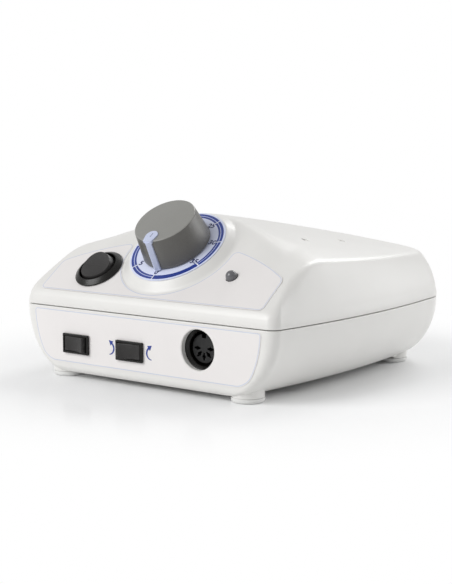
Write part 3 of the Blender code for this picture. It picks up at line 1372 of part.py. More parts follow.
# Mains transformer
def transformer():
    base = PLINTH_Z + GAP
    middle = Vector((CORE_X, FRONT_Y + CORE_MIDDLE, base + CORE_HEIGHT / 2.0))
    core = block("transformer_core", (CORE_THICK, CORE_LENGTH, CORE_HEIGHT), middle, CORE_STEEL)
    window_height = CORE_HEIGHT - 2.0 * CORE_YOKE
    leg = CORE_LENGTH - 2.0 * CORE_YOKE - 2.0 * CORE_WINDOW
    shift = (leg + CORE_WINDOW) / 2.0
    for number, side in enumerate((-1.0, 1.0)):
        size = (CORE_THICK + 2.0 * OVERRUN, CORE_WINDOW, window_height)
        cut(core, block(f"core_window_{number}", size, middle + Vector((0.0, side * shift, 0.0))))
    outer = (
        CORE_THICK + 2.0 * WINDING_GROWTH,
        leg + 2.0 * CORE_WINDOW - 2.0 * GAP,
        window_height - 2.0 * GAP,
    )
    winding = block("transformer_winding", outer, middle, WINDING_TAPE)
    tunnel = (CORE_THICK + 2.0 * GAP, leg + 2.0 * GAP, window_height + 2.0 * OVERRUN)
    cut(winding, block("winding_tunnel", tunnel, middle))
    clamp(base)


def clamp(base):
    """A strap over the core with a foot at each end, each held by a screw."""
    half = CORE_LENGTH / 2.0 + GAP
    top = CORE_HEIGHT + GAP
    outer = half + CLAMP_THICK
    reach = outer + CLAMP_FOOT
    outline = (
        (-reach, 0.0),
        (-half, 0.0),
        (-half, top),
        (half, top),
        (half, 0.0),
        (reach, 0.0),
        (reach, CLAMP_THICK),
        (outer, CLAMP_THICK),
        (outer, top + CLAMP_THICK),
        (-outer, top + CLAMP_THICK),
        (-outer, CLAMP_THICK),
        (-reach, CLAMP_THICK),
    )
    quarter = math.radians(90.0)
    upright = Matrix.Rotation(quarter, 4, "Z") @ Matrix.Rotation(quarter, 4, "X")
    place = at(CORE_X - CLAMP_WIDTH / 2.0, FRONT_Y + CORE_MIDDLE, base) @ upright
    strap = prism("transformer_clamp", outline, CLAMP_WIDTH, place, STEEL)
    for number, (x, depth) in enumerate(CLAMP_PLACES):
        hole_place = at(x, FRONT_Y + depth, base - OVERRUN)
        length = CLAMP_THICK + 2.0 * OVERRUN
        hole = small_cylinder(f"clamp_hole_{number}", BOARD_SCREW_RADIUS + GAP, length, hole_place)
        cut(strap, hole)
        screw_place = at(x, FRONT_Y + depth, base + CLAMP_THICK + GAP)
        grip = base + CLAMP_THICK + GAP - FLOOR_Z - GAP
        screw(
            f"clamp_screw_{number + 1}",
            screw_place,
            BOARD_SCREW_RADIUS,
            BOARD_SCREW_HEAD,
            BOARD_SCREW_HEAD_HEIGHT,
            grip,
        )


# Rear sockets
def mains_inlet():
    """A three-pin appliance inlet in a flange, with a cavity whose upper corners are cut off."""
    flange_low = FILM_GAP
    outline = rounded_rectangle(*INLET_FLANGE, INLET_CORNER)
    flange_place = on_rear(INLET_X, REAR_Z, -flange_low)
    inlet = prism("mains_inlet", outline, INLET_FLANGE_THICK, flange_place, BLACK_PLASTIC)
    front = flange_low + INLET_FLANGE_THICK / 2.0
    cavity_floor = flange_low + INLET_FLANGE_THICK - INLET_CAVITY_DEPTH
    length = front - cavity_floor + INLET_BACK
    trunk = rounded_rectangle(*INLET_BODY, INLET_CORNER)
    join(inlet, prism("inlet_trunk", trunk, length, on_rear(INLET_X, REAR_Z, length - front)))
    half_x = INLET_CAVITY[0] / 2.0
    half_z = INLET_CAVITY[1] / 2.0
    cavity = (
        (half_x, half_z),
        (-half_x, half_z),
        (-half_x, INLET_CHAMFER - half_z),
        (INLET_CHAMFER - half_x, -half_z),
        (half_x - INLET_CHAMFER, -half_z),
        (half_x, INLET_CHAMFER - half_z),
    )
    depth = INLET_CAVITY_DEPTH + OVERRUN
    cut(inlet, prism("inlet_cavity", cavity, depth, on_rear(INLET_X, REAR_Z, -cavity_floor)))
    pin_root = cavity_floor - INLET_BACK - PIN_TIP
    for name, across, rise in (
        ("mains_pin_line", -PIN_SPACING, PIN_DROP),
        ("mains_pin_neutral", PIN_SPACING, PIN_DROP),
        ("mains_pin_earth", 0.0, -PIN_DROP),
    ):
        half = (PIN_SIZE[0] / 2.0, PIN_SIZE[1] / 2.0)
        slot = (half[0] + FILM_GAP, half[1] + FILM_GAP)
        place = on_rear(INLET_X, REAR_Z, -pin_root) @ at(across, rise, 0.0)
        section = rounded_rectangle(2.0 * half[0], 2.0 * half[1], FILM_GAP, 1)
        opening = rounded_rectangle(2.0 * slot[0], 2.0 * slot[1], FILM_GAP, 1)
        hole_place = on_rear(INLET_X, REAR_Z, OVERRUN - pin_root) @ at(across, rise, 0.0)
        cut(inlet, prism(name + "_slot", opening, INLET_BACK + PIN_TIP + 2.0 * OVERRUN, hole_place))
        prism(name, section, PIN_LENGTH, place, BRASS)


def fuse_holder():
    low = FILM_GAP
    face = low + FUSE_FLANGE_THICK
    base = low - FUSE_BODY_LENGTH
    seat = base + WALL
    profile = (
        (0.0, seat),
        (FUSE_BORE, seat),
        (FUSE_BORE, face),
        (FUSE_FLANGE_RADIUS, face),
        (FUSE_FLANGE_RADIUS, low),
        (FUSE_BODY_RADIUS, low),
        (FUSE_BODY_RADIUS, base),
        (0.0, base),
    )
    place = on_rear(FUSE_X, REAR_Z)
    smooth(turned("fuse_holder", profile, place, BLACK_PLASTIC))
    cap_low = face + GAP
    cap_high = FUSE_FLANGE_THICK + FUSE_CAP_RISE
    cap_profile = (
        (0.0, cap_high),
        (FUSE_CAP_RADIUS - FUSE_CAP_EDGE, cap_high),
        (FUSE_CAP_RADIUS, cap_high - FUSE_CAP_EDGE),
        (FUSE_CAP_RADIUS, cap_low),
        (FUSE_CAP_STEM, cap_low),
        (FUSE_CAP_STEM, cap_low - FUSE_CAP_STEM_LENGTH),
        (0.0, cap_low - FUSE_CAP_STEM_LENGTH),
    )
    cap = turned("fuse_cap", cap_profile, place, BLACK_PLASTIC)
    slot_size = (2.0 * FUSE_CAP_RADIUS + OVERRUN, FUSE_CAP_SLOT, 2.0 * FUSE_CAP_SLOT_DEPTH)
    slot = block("fuse_cap_slot", slot_size, (0.0, 0.0, cap_high))
    slot.matrix_world = place
    cut(cap, slot)
    smooth(cap)
    fuse_high = cap_low - FUSE_CAP_STEM_LENGTH - GAP
    fuse_place = on_rear(FUSE_X, REAR_Z, FUSE_LENGTH - fuse_high)
    smooth(cylinder("fuse", FUSE_RADIUS, FUSE_LENGTH, fuse_place, CLEAR_GLASS, SMALL_SEGMENTS))
    bore = FUSE_BODY_RADIUS + GAP
    high = -WALL - GAP
    bottom = high - FUSE_NUT_THICK
    nut = ((bore, high), (FUSE_NUT_RADIUS, high), (FUSE_NUT_RADIUS, bottom), (bore, bottom))
    smooth(turned("fuse_holder_nut", nut, place, BLACK_PLASTIC, SMALL_SEGMENTS))


def pedal_jack():
    width, depth, height = JACK_BODY
    place = on_rear(JACK_X, REAR_Z)
    centre = (0.0, 0.0, -WALL - GAP - depth / 2.0)
    body = block("pedal_jack_body", (width, height, depth), centre, DARK_PLASTIC)
    body.matrix_world = place
    bush_length = WALL + GAP + SINK + JACK_BUSH_RISE
    bush_place = place @ at(0.0, 0.0, -WALL - GAP - SINK)
    join(body, small_cylinder("jack_bush", JACK_BUSH_RADIUS, bush_length, bush_place))
    bore_place = place @ at(0.0, 0.0, -JACK_BORE_DEPTH)
    length = JACK_BORE_DEPTH + JACK_BUSH_RISE + OVERRUN
    cut(body, small_cylinder("jack_bore", JACK_BORE, length, bore_place))
    inner = JACK_BUSH_RADIUS + GAP
    low = FILM_GAP
    high = low + JACK_NUT_THICK
    nut = ((inner, high), (JACK_NUT_RADIUS, high), (JACK_NUT_RADIUS, low), (inner, low))
    smooth(turned("pedal_jack_nut", nut, place, STEEL, SMALL_SEGMENTS))


lower_housing()
upper_cover()
front_label()
control_label()
dial_plate()
speed_knob()
knob_pointer()
potentiometer()
power_switch()
front_switch("mode", MODE_X, -SWITCH_TILT)
front_switch("direction", DIRECTION_X, SWITCH_TILT)
motor_socket()
power_light()
for foot_number, foot_place in enumerate(FOOT_PLACES):
    foot(foot_number + 1, *foot_place)
for post_number, post_place in enumerate(POST_PLACES):
    case_screw(post_number + 1, *post_place)
circuit_board()
transformer()
mains_inlet()
fuse_holder()
pedal_jack()
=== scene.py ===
import json
import math

import bmesh
import bpy
from mathutils import Matrix, Vector


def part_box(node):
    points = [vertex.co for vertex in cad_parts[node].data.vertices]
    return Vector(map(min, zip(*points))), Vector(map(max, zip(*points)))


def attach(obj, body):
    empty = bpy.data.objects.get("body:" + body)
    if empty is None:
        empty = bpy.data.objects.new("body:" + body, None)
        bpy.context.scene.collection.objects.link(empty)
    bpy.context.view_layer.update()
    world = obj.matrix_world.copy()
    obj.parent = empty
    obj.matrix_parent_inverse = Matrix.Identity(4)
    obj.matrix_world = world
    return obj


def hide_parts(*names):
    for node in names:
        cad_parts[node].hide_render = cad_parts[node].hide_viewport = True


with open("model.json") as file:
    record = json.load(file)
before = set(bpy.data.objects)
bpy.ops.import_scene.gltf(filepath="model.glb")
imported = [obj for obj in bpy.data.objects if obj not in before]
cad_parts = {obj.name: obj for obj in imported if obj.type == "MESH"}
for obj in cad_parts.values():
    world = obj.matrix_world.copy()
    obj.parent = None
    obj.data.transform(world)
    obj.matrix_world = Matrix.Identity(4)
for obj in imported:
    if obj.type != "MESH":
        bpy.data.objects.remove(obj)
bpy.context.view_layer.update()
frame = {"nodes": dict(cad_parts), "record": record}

# Clearances and overruns, in metres
GAP = 0.0003
FILM_GAP = 0.0001
OVERRUN = 0.002
SINK = 0.001

# Case
DEPTH = 0.148
HALF_WIDTH = 0.0754
SIDE_BOW = 0.0061
WIDEST_SHARE = 0.473
FRONT_CORNER = 0.005
REAR_CORNER = 0.026
WALL = 0.0022
SEAM_Z = 0.032
SEAM_GAP = 0.0004
RIM_ROUND = 0.00035
UNDERSIDE_Z = 0.0025
HULL_INSET = 0.024
BOTTOM_ROUND = 0.0035
LIP_Z = 0.0377
PANEL_TILT = math.radians(36.0)
RIDGE_Z = (0.0734, 0.0671, 0.0588)
RIDGE_SHARES = (0.304, 0.608, 0.946)
EAVES_FRONT_Z = 0.0574
EAVES_REAR_Z = 0.0519
EAVES_SHARES = (0.162, 0.946)
EAVES_HALF = 0.0654
RIDGE_ROUND = 0.015
CREST_BLEND = 0.012
CREST_SHARP = 0.001
BAND_HEIGHT = 0.0018
COVER_SLOPE_SHARE = 1.2

# Screw holes and the socket's collar
SCREW_BORE = 0.0017
COLLAR_DEPTH = 0.005

# How finely things are meshed
FRONT_STEPS = 56
SIDE_STEPS = 64
REAR_STEPS = 36
CORNER_STEPS = 16
HULL_STEPS = 30
INNER_STEPS = 10
EDGE_STEPS = 10
RIM_STEPS = 3
EDGE_SOFT_STEPS = 4
TOP_STEPS = 30
TURN_SEGMENTS = 128
SMALL_SEGMENTS = 48
CURVE_STEPS = 48

# Dial boss, dial and knob
DIAL_SLOPE = 0.0333
BOSS_RISE = 0.0031
BOSS_RADIUS = 0.0229
BOSS_FOOT_RADIUS = 0.026837
BOSS_RIM_ROUND = 0.002
BOSS_FOOT_ROUND = 0.0033
BOSS_OUTER_RADIUS = 0.028
BUSH_HOLE_RADIUS = 0.0043
PLATE_THICK = 0.0003
KNOB_BASE_RADIUS = 0.0159
KNOB_TOP_RADIUS = 0.01407
KNOB_LOW = 0.001
KNOB_TOP = 0.01507

# Labels
FILM_LIFT = 0.00004
FILM_THICK = 0.0003
FILM_THIN = 0.00016
FILM_EDGE = 0.00006
INK_THICK = 0.00004
LABEL_LINE = 0.00045
LABEL_LINE_MARGIN = 0.00025

# Where things stand
SCENE = bpy.context.scene
QUARTER = math.radians(90.0)
FRONT_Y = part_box("lower_housing")[0].y
REAR_Y = FRONT_Y + DEPTH
PANEL_NORMAL = Vector((0.0, -math.sin(PANEL_TILT), math.cos(PANEL_TILT)))
UPSLOPE = Vector((0.0, math.cos(PANEL_TILT), math.sin(PANEL_TILT)))
TO_PANEL = Matrix.Rotation(PANEL_TILT, 4, "X")
TO_FRONT = Matrix.Rotation(QUARTER, 4, "X")
TO_REAR = Matrix.Rotation(-QUARTER, 4, "X")


def middle(name):
    """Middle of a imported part's box."""
    low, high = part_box(name)
    return (low + high) / 2.0


def middles(name, count):
    """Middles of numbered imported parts."""
    return [middle(f"{name}_{number}") for number in range(1, count + 1)]


def at(x, y, z):
    return Matrix.Translation((x, y, z))


def on_panel(x, slope, rise):
    """A frame on the control panel: x, the way up the slope, and the height square to the panel."""
    return at(*(Vector((x, FRONT_Y, LIP_Z)) + UPSLOPE * slope + PANEL_NORMAL * rise)) @ TO_PANEL


def on_dial(rise=0.0):
    """A frame at the dial's middle, above the panel."""
    return on_panel(0.0, DIAL_SLOPE, rise)


def on_front(x, z, depth=0.0):
    return at(x, FRONT_Y + depth, z) @ TO_FRONT


def on_rear(name, depth=0.0):
    """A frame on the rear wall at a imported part's middle."""
    return at(middle(name).x, REAR_Y - depth, middle(name).z) @ TO_REAR


def switch_x(name):
    """Where a front rocker switch stands, a touch to the right of its simple solid."""
    return middle(name + "_switch_body").x + SWITCH_SHIFT


POWER_X = middle("power_switch_body").x
POWER_SLOPE = 0.0176
LIGHT_X = middle("power_light").x
LIGHT_SLOPE = 0.0202
SOCKET_X = middle("motor_socket_shell").x
SOCKET_Z = middle("motor_socket_shell").z
SWITCH_Z = middle("mode_switch_body").z


# Materials
CLOUD = {"Scale": 60.0, "Detail": 3.0}
SPECK_DETAIL = 2.0
NOISE_RANGE = (0.3, 0.7)
FINISHES = {}


def feed(tree, made, inputs):
    """Gives each named input a value, or a link from another node's output."""
    for socket, value in inputs.items():
        if isinstance(value, bpy.types.NodeSocket):
            tree.links.new(value, made.inputs[socket])
        else:
            made.inputs[socket].default_value = value


def node(tree, kind, inputs, output=0, **settings):
    """One output of a new shader node."""
    made = tree.nodes.new("ShaderNode" + kind)
    for name, value in settings.items():
        setattr(made, name, value)
    feed(tree, made, inputs)
    return made.outputs[output]


def finish(
    name, colour, roughness, spread=0.02, grain=0.0004, bump=0.02, grit=0.05, fleck=0.0, specular=0.5,
    **sockets
):
    """A moulded or metal surface: grain in its relief and slight unevenness in colour and gloss."""
    made = bpy.data.materials.new(name)
    made.use_nodes = True
    tree = made.node_tree
    low, high = NOISE_RANGE
    where = node(tree, "TexCoord", {}, "Object")
    cloud = node(tree, "TexNoise", {"Vector": where, **CLOUD}, "Fac")
    tint = node(tree, "ValToRGB", {"Fac": cloud}, "Color")
    stops = tint.node.color_ramp.elements
    for stop, position, shift in ((stops[0], low, -spread), (stops[1], high, spread)):
        stop.position = position
        stop.color = (*[min(c * (1.0 + shift), 1.0) for c in colour], 1.0)
    speck = node(tree, "TexNoise", {"Vector": where, "Scale": 1.0 / grain, "Detail": SPECK_DETAIL}, "Fac")
    shades = {"From Min": low, "From Max": high, "To Min": 1.0 - fleck, "To Max": 1.0 + fleck}
    shade = node(tree, "MapRange", {"Value": speck, **shades}, "Result")
    shine = {"To Min": max(roughness - grit, 0.0), "To Max": min(roughness + grit, 1.0)}
    surface = {
        "Base Color": node(tree, "VectorMath", {0: tint, "Scale": shade}, operation="SCALE"),
        "Roughness": node(tree, "MapRange", {"Value": speck, **shine}, "Result"),
        "Normal": node(tree, "Bump", {"Height": speck, "Strength": bump, "Distance": grain}, "Normal"),
        "Specular IOR Level": specular,
    }
    feed(tree, tree.nodes["Principled BSDF"], {**surface, **sockets})
    FINISHES[name] = made


finish("white_case", (0.785, 0.777, 0.755), 0.31, 0.01, 0.0005, 0.06, specular=0.46)
finish("white_rubber", (0.76, 0.76, 0.745), 0.6, 0.03, 0.0004, 0.15, fleck=0.02)
finish("film", (0.82, 0.795, 0.785), 0.42, 0.006, 0.0003, 0.05)
finish("film_line", (0.62, 0.65, 0.74), 0.42, 0.02, 0.0003, 0.03)
finish("dial_film", (0.72, 0.765, 0.95), 0.36, 0.01, 0.0003, 0.03)
finish("ink_blue", (0.016, 0.042, 0.27), 0.4, 0.05, 0.0002, 0.03)
finish("ink_dark", (0.014, 0.022, 0.12), 0.4, 0.05, 0.0002, 0.03)
finish("ink_pale", (0.17, 0.23, 0.62), 0.4, 0.05, 0.0002, 0.03)
finish("ink_white", (0.80, 0.83, 0.92), 0.4, 0.02, 0.0002, 0.03)
finish("grey_knob", (0.265, 0.263, 0.248), 0.42, 0.02, 0.00022, 0.14, fleck=0.07)
# A darker grey for the knob's side: painted shade, standing in for the dark the lamps leave on the side.
finish("grey_knob_shaded_side", (0.1, 0.097, 0.088), 0.32, 0.03, 0.00028, 0.3, fleck=0.12, specular=0.7)
finish("pointer_white", (0.57, 0.62, 0.80), 0.28, 0.02, 0.0004, 0.03)
# A dark grey for the strip along the pointer's middle: painted shade of its crease.
finish("pointer_crease_shade", (0.12, 0.13, 0.2), 0.4, 0.05, 0.0002, 0.05)
finish("black_plastic", (0.004, 0.0034, 0.0026), 0.28, 0.12, 0.0003, 0.12, fleck=0.1, specular=0.32)
finish("rocker_black", (0.02, 0.0185, 0.018), 0.4, 0.15, 0.00035, 0.35, fleck=0.25, specular=0.36)
finish("dark_plastic", (0.008, 0.008, 0.008), 0.5, 0.1, 0.0003, 0.2, fleck=0.15, specular=0.4)
finish("clear_lens", (0.13, 0.13, 0.14), 0.08, 0.06, 0.0009, 0.01, 0.02, 0.15, IOR=1.55)
finish("steel", (0.6, 0.6, 0.6), 0.3, 0.05, 0.0003, 0.08, 0.08, 0.03, Metallic=1.0)
finish("brass", (0.7, 0.55, 0.25), 0.3, 0.06, 0.0003, 0.08, 0.08, 0.04, Metallic=1.0)
finish("board_green", (0.03, 0.16, 0.07), 0.4, 0.15, 0.0008, 0.1, 0.05, 0.1)
finish("core_steel", (0.2, 0.2, 0.21), 0.5, 0.15, 0.0005, 0.3, 0.1, 0.1, Metallic=0.8)
finish("winding_tape", (0.75, 0.55, 0.08), 0.5, 0.08, 0.001, 0.2, 0.05, 0.05)
finish("aluminium", (0.65, 0.66, 0.68), 0.4, 0.05, 0.0004, 0.1, 0.08, 0.04, Metallic=1.0)
finish("blue_sleeve", (0.03, 0.05, 0.2), 0.35, 0.1, 0.001, 0.05)
finish("clear_glass", (0.85, 0.9, 0.9), 0.08, 0.01, 0.001, 0.01, 0.02, Alpha=0.4)
for part in frame["record"]["subparts"]:
    carried = frame["nodes"][part["node"]]
    carried.data.materials.clear()
    carried.data.materials.append(FINISHES[part["material_slot"]])


# Meshes and pieces
STRAIGHT = math.radians(89.5)


def smooth(obj, degrees=32.0):
    obj.data.shade_smooth()
    obj.data.set_sharp_from_angle(angle=math.radians(degrees))
    return obj


def mesh_object(name, bm, material=None):
    bmesh.ops.recalc_face_normals(bm, faces=bm.faces)
    mesh = bpy.data.meshes.new(name)
    bm.to_mesh(mesh)
    bm.free()
    obj = bpy.data.objects.new(name, mesh)
    SCENE.collection.objects.link(obj)
    if material is not None:
        mesh.materials.append(FINISHES[material])
    return obj


def bridge(bm, rows, closed):
    """Faces from each ring of points to the next; a ring of one point is a tip."""
    pairs = list(zip(rows, rows[1:]))
    if closed:
        pairs.append((rows[-1], rows[0]))
    for low, high in pairs:
        count = max(len(low), len(high))
        for index in range(count):
            after = (index + 1) % count
            if len(low) == 1:
                bm.faces.new((low[0], high[after], high[index]))
            elif len(high) == 1:
                bm.faces.new((low[index], low[after], high[0]))
            else:
                bm.faces.new((low[index], low[after], high[after], high[index]))


def loft(name, rings, material=None, close_first=False, close_last=False, closed_run=False):
    """Rings of points joined in order; each ring is closed."""
    bm = bmesh.new()
    rows = [[bm.verts.new(point) for point in ring] for ring in rings]
    bridge(bm, rows, closed_run)
    if close_first:
        bm.faces.new(list(reversed(rows[0])))
    if close_last:
        bm.faces.new(rows[-1])
    return mesh_object(name, bm, material)


def rounded(points, radii, steps=5):
    """An open run of points whose inner corners are rounded by arcs of the given radii."""
    made = [Vector(points[0])]
    for before, corner, after, radius in zip(points, points[1:], points[2:], radii):
        corner = Vector(corner)
        inward = (Vector(before) - corner).normalized()
        outward = (Vector(after) - corner).normalized()
        half = inward.angle(outward) / 2.0
        if radius <= 0.0 or half > STRAIGHT:
            made.append(corner)
            continue
        reach = radius / math.tan(half)
        centre = corner + (inward + outward).normalized() * (radius / math.sin(half))
        start = corner + inward * reach - centre
        end = corner + outward * reach - centre
        sweep = start.angle(end)
        for step in range(steps + 1):
            share = step / steps
            weight_start = math.sin((1.0 - share) * sweep) / math.sin(sweep)
            weight_end = math.sin(share * sweep) / math.sin(sweep)
            made.append(centre + start * weight_start + end * weight_end)
    made.append(Vector(points[-1]))
    return made


def rounded_loop(points, radii, steps=5):
    return rounded([points[-1], *points, points[0]], radii, steps)[1:-1]


def arc(centre_x, centre_y, radius, start, end, steps):
    """Points on an arc, its angles in degrees counter-clockwise from the x axis."""
    points = []
    for step in range(steps + 1):
        angle = math.radians(start + (end - start) * step / steps)
        points.append((centre_x + radius * math.cos(angle), centre_y + radius * math.sin(angle)))
    return points


def round_outline(radii):
    """A closed outline with one point for each radius, evenly spaced round a circle."""
    turn = math.radians(360.0) / len(radii)
    spokes = enumerate(radii)
    return [(radius * math.cos(turn * step), radius * math.sin(turn * step)) for step, radius in spokes]


def turned(name, profile, place, material=None, segments=TURN_SEGMENTS):
    """A profile of (radius, height) turned round the z axis of its place; radius zero closes it."""
    bm = bmesh.new()
    rows = []
    for radius, height in profile:
        if radius <= 0.0:
            rows.append([bm.verts.new((0.0, 0.0, height))])
        else:
            rows.append([bm.verts.new((x, y, height)) for x, y in round_outline([radius] * segments)])
    bridge(bm, rows, len(rows[0]) > 1 and len(rows[-1]) > 1)
    bmesh.ops.transform(bm, matrix=place, verts=bm.verts)
    return smooth(mesh_object(name, bm, material))


def prism(name, outline, height, place, material=None, edge=0.0, edge_steps=3, both_ends=False):
    """A flat outline raised along the z axis of its place, with its upper edge rounded."""
    bm = bmesh.new()
    floor = bm.faces.new([bm.verts.new((x, y, 0.0)) for x, y in outline])
    risen = bmesh.ops.extrude_face_region(bm, geom=[floor])
    top = {item for item in risen["geom"] if isinstance(item, bmesh.types.BMVert)}
    bmesh.ops.translate(bm, vec=(0.0, 0.0, height), verts=list(top))
    if edge > 0.0:
        rim = [e for e in bm.edges if all(v in top for v in e.verts)]
        if both_ends:
            rim += [e for e in bm.edges if all(v not in top for v in e.verts)]
        bmesh.ops.bevel(bm, geom=rim, offset=edge, segments=edge_steps, profile=0.5, affect="EDGES")
    bmesh.ops.transform(bm, matrix=place, verts=bm.verts)
    return smooth(mesh_object(name, bm, material))


def baked(obj):
    """Makes what the object's modifiers give its own mesh."""
    mesh = bpy.data.meshes.new_from_object(obj.evaluated_get(bpy.context.evaluated_depsgraph_get()))
    obj.modifiers.clear()
    stale = obj.data
    obj.data = mesh
    bpy.data.meshes.remove(stale)
    return obj


def combined(obj, others, operation):
    """One Boolean with all the others at once."""
    group = bpy.data.collections.new("operands")
    for other in others:
        group.objects.link(other)
    step = obj.modifiers.new(operation.lower(), "BOOLEAN")
    step.operation = operation
    step.solver = "EXACT"
    step.operand_type = "COLLECTION"
    step.collection = group
    baked(obj)
    for other in others:
        bpy.data.objects.remove(other)
    bpy.data.collections.remove(group)
    return obj


def cut(obj, *cutters):
    return combined(obj, cutters, "DIFFERENCE")


def join(obj, *pieces):
    return combined(obj, pieces, "UNION")


def bevelled(obj, width, steps=3, degrees=30.0):
    """Rounds every edge that turns by more than an angle."""
    step = obj.modifiers.new("edges", "BEVEL")
    step.width = width
    step.segments = steps
    step.limit_method = "ANGLE"
    step.angle_limit = math.radians(degrees)
    step.harden_normals = False
    return smooth(baked(obj), 50.0)


def rod(name, radius, length, place, material=None, segments=SMALL_SEGMENTS, edge=0.0):
    """A round bar from the place's origin up its z axis."""
    profile = [(0.0, 0.0), (radius, 0.0), (radius, length), (0.0, length)]
    if edge > 0.0:
        profile = rounded(profile, (edge, edge))
    return turned(name, profile, place, material, segments)


def uprights(name, radius, low, high, places, edge=0.0):
    """A round bar between two heights at each of the places."""
    return [rod(name, radius, high - low, at(place.x, place.y, low), edge=edge) for place in places]


def rounded_rectangle(width, height, corner, steps=6):
    points = []
    for turn in range(4):
        middle_x = (width / 2.0 - corner) * (1.0 if turn in (0, 3) else -1.0)
        middle_y = (height / 2.0 - corner) * (1.0 if turn < 2 else -1.0)
        for step in range(steps + 1):
            angle = QUARTER * (turn + step / steps)
            points.append((middle_x + corner * math.cos(angle), middle_y + corner * math.sin(angle)))
    return points


def bar(name, width, height, length, place, material=None, corner=0.0001, edge=0.0):
    """A bar centred on the place's origin, from there up its z axis."""
    return prism(name, rounded_rectangle(width, height, corner), length, place, material, edge)


def piece(obj, body, slot, *stands_for):
    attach(obj, body)
    if stands_for:
        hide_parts(*stands_for)
    return obj


# Shape of the case
def half_width(depth):
    widest = WIDEST_SHARE * DEPTH
    return HALF_WIDTH - SIDE_BOW * ((depth - widest) / widest) ** 2


def hull_inset(z):
    """How far the side has curved in at height z below the seam."""
    fall = min(max((SEAM_Z - z) / (SEAM_Z - UNDERSIDE_Z), 0.0), 1.0)
    return HULL_INSET * (1.0 - math.sqrt(1.0 - fall * fall))


OUTLINE_RUNS = (
    ("front", FRONT_STEPS, 1.0),
    ("front_corner", CORNER_STEPS, 1.0),
    ("side", SIDE_STEPS, 1.0),
    ("rear_corner", CORNER_STEPS, 1.0),
    ("rear", REAR_STEPS, 1.0),
    ("rear_corner", CORNER_STEPS, -1.0),
    ("side", SIDE_STEPS, -1.0),
    ("front_corner", CORNER_STEPS, -1.0),
)


def outline(insets, end_inset=None):
    """The plan outline, drawn in by one inset, by one for each point, or by one for the sides and ends."""
    points = []
    for kind, steps, hand in OUTLINE_RUNS:
        for step in range(steps):
            side = insets[len(points)] if isinstance(insets, list) else insets
            share = step / steps if hand > 0.0 else 1.0 - step / steps
            x, depth = outline_point(kind, share, side, side if end_inset is None else end_inset)
            points.append((hand * x, depth))
    return points


def outline_point(kind, share, side, front):
    """A point on the front, the rear or the right half of the outline."""
    rear = DEPTH - front
    rear_corner = max(REAR_CORNER - front, FRONT_CORNER)
    front_half = half_width(front + FRONT_CORNER) - side
    rear_half = half_width(rear - rear_corner) - side
    across = 1.0 - math.sin(QUARTER * share)
    along = 1.0 - math.cos(QUARTER * share)
    if kind == "front":
        return ((2.0 * share - 1.0) * (front_half - FRONT_CORNER), front)
    if kind == "front_corner":
        return (front_half - FRONT_CORNER * across, front + FRONT_CORNER * along)
    if kind == "rear_corner":
        return (rear_half - rear_corner * along, rear - rear_corner * across)
    if kind == "rear":
        return ((1.0 - 2.0 * share) * (rear_half - rear_corner), rear)
    depth = front + FRONT_CORNER + (rear - rear_corner - front - FRONT_CORNER) * share
    return (half_width(depth) - side, depth)


def ring_at(z, inset, end_inset=None):
    return [Vector((x, FRONT_Y + depth, z)) for x, depth in outline(inset, end_inset)]


def rim_rings(z, hand, count):
    """Rings round the rim at the seam; hand is 1 for the cover's rim and -1 for the housing's."""
    rings = []
    for step in range(count):
        angle = QUARTER * step / RIM_STEPS
        rise = hand * RIM_ROUND * (1.0 - math.cos(angle))
        rings.append(ring_at(z + rise, RIM_ROUND * (1.0 - math.sin(angle))))
    return rings


def ridge_height(depth):
    """Height of the ridge, on the parabola through its three points."""
    total = 0.0
    for share, height in zip(RIDGE_SHARES, RIDGE_Z):
        for other in RIDGE_SHARES:
            if other != share:
                height *= (depth / DEPTH - other) / (share - other)
        total += height
    return total


def panel_height(depth):
    return LIP_Z + math.tan(PANEL_TILT) * depth


def cover_height(x, depth):
    """Height of the cover: the flat panel and the ridged top, blended along the crest."""
    ridge = ridge_height(depth)
    run = (depth / DEPTH - EAVES_SHARES[0]) / (EAVES_SHARES[1] - EAVES_SHARES[0])
    eaves = EAVES_FRONT_Z + (EAVES_REAR_Z - EAVES_FRONT_Z) * run
    full = math.hypot(EAVES_HALF, RIDGE_ROUND) - RIDGE_ROUND
    top = ridge - (ridge - eaves) * (math.hypot(x, RIDGE_ROUND) - RIDGE_ROUND) / full
    panel = panel_height(depth)
    away = math.hypot(x, depth / math.cos(PANEL_TILT) - DIAL_SLOPE) / BOSS_FOOT_RADIUS - 1.0
    blend = CREST_SHARP + (CREST_BLEND - CREST_SHARP) * min(max(away, 0.0), 1.0)
    mix = min(max(0.5 + 0.5 * (top - panel) / blend, 0.0), 1.0)
    return top + (panel - top) * mix - blend * mix * (1.0 - mix)


# Upper cover
def cover_edges():
    """At each point of the outline: the rise, the draft, and the edge's reach, turn and crease."""
    cover_draft = 0.003
    edge_round = 0.006
    least_edge_round = 0.0026
    edge_round_share = 0.4
    edge_rises = (0.007, 0.013)
    edge_foot = 0.0045
    least_edge_turn = math.radians(38.0)
    edges = []
    for x, depth in outline(cover_draft, cover_draft / 2.0):
        rise = cover_height(x, depth) - SEAM_Z
        draft = cover_draft * min(rise / (EAVES_FRONT_Z - SEAM_Z), 1.0)
        reach = min(max(rise * edge_round_share, least_edge_round), edge_round)
        crease = min(max((rise - edge_rises[0]) / (edge_rises[1] - edge_rises[0]), 0.0), 1.0)
        crease = crease * crease * (3.0 - 2.0 * crease)
        shoulder = max(2.0 * math.atan(reach / max(rise - edge_foot, SINK)), least_edge_turn)
        edges.append((rise, draft, reach, QUARTER + (min(shoulder, QUARTER) - QUARTER) * crease, crease))
    return edges


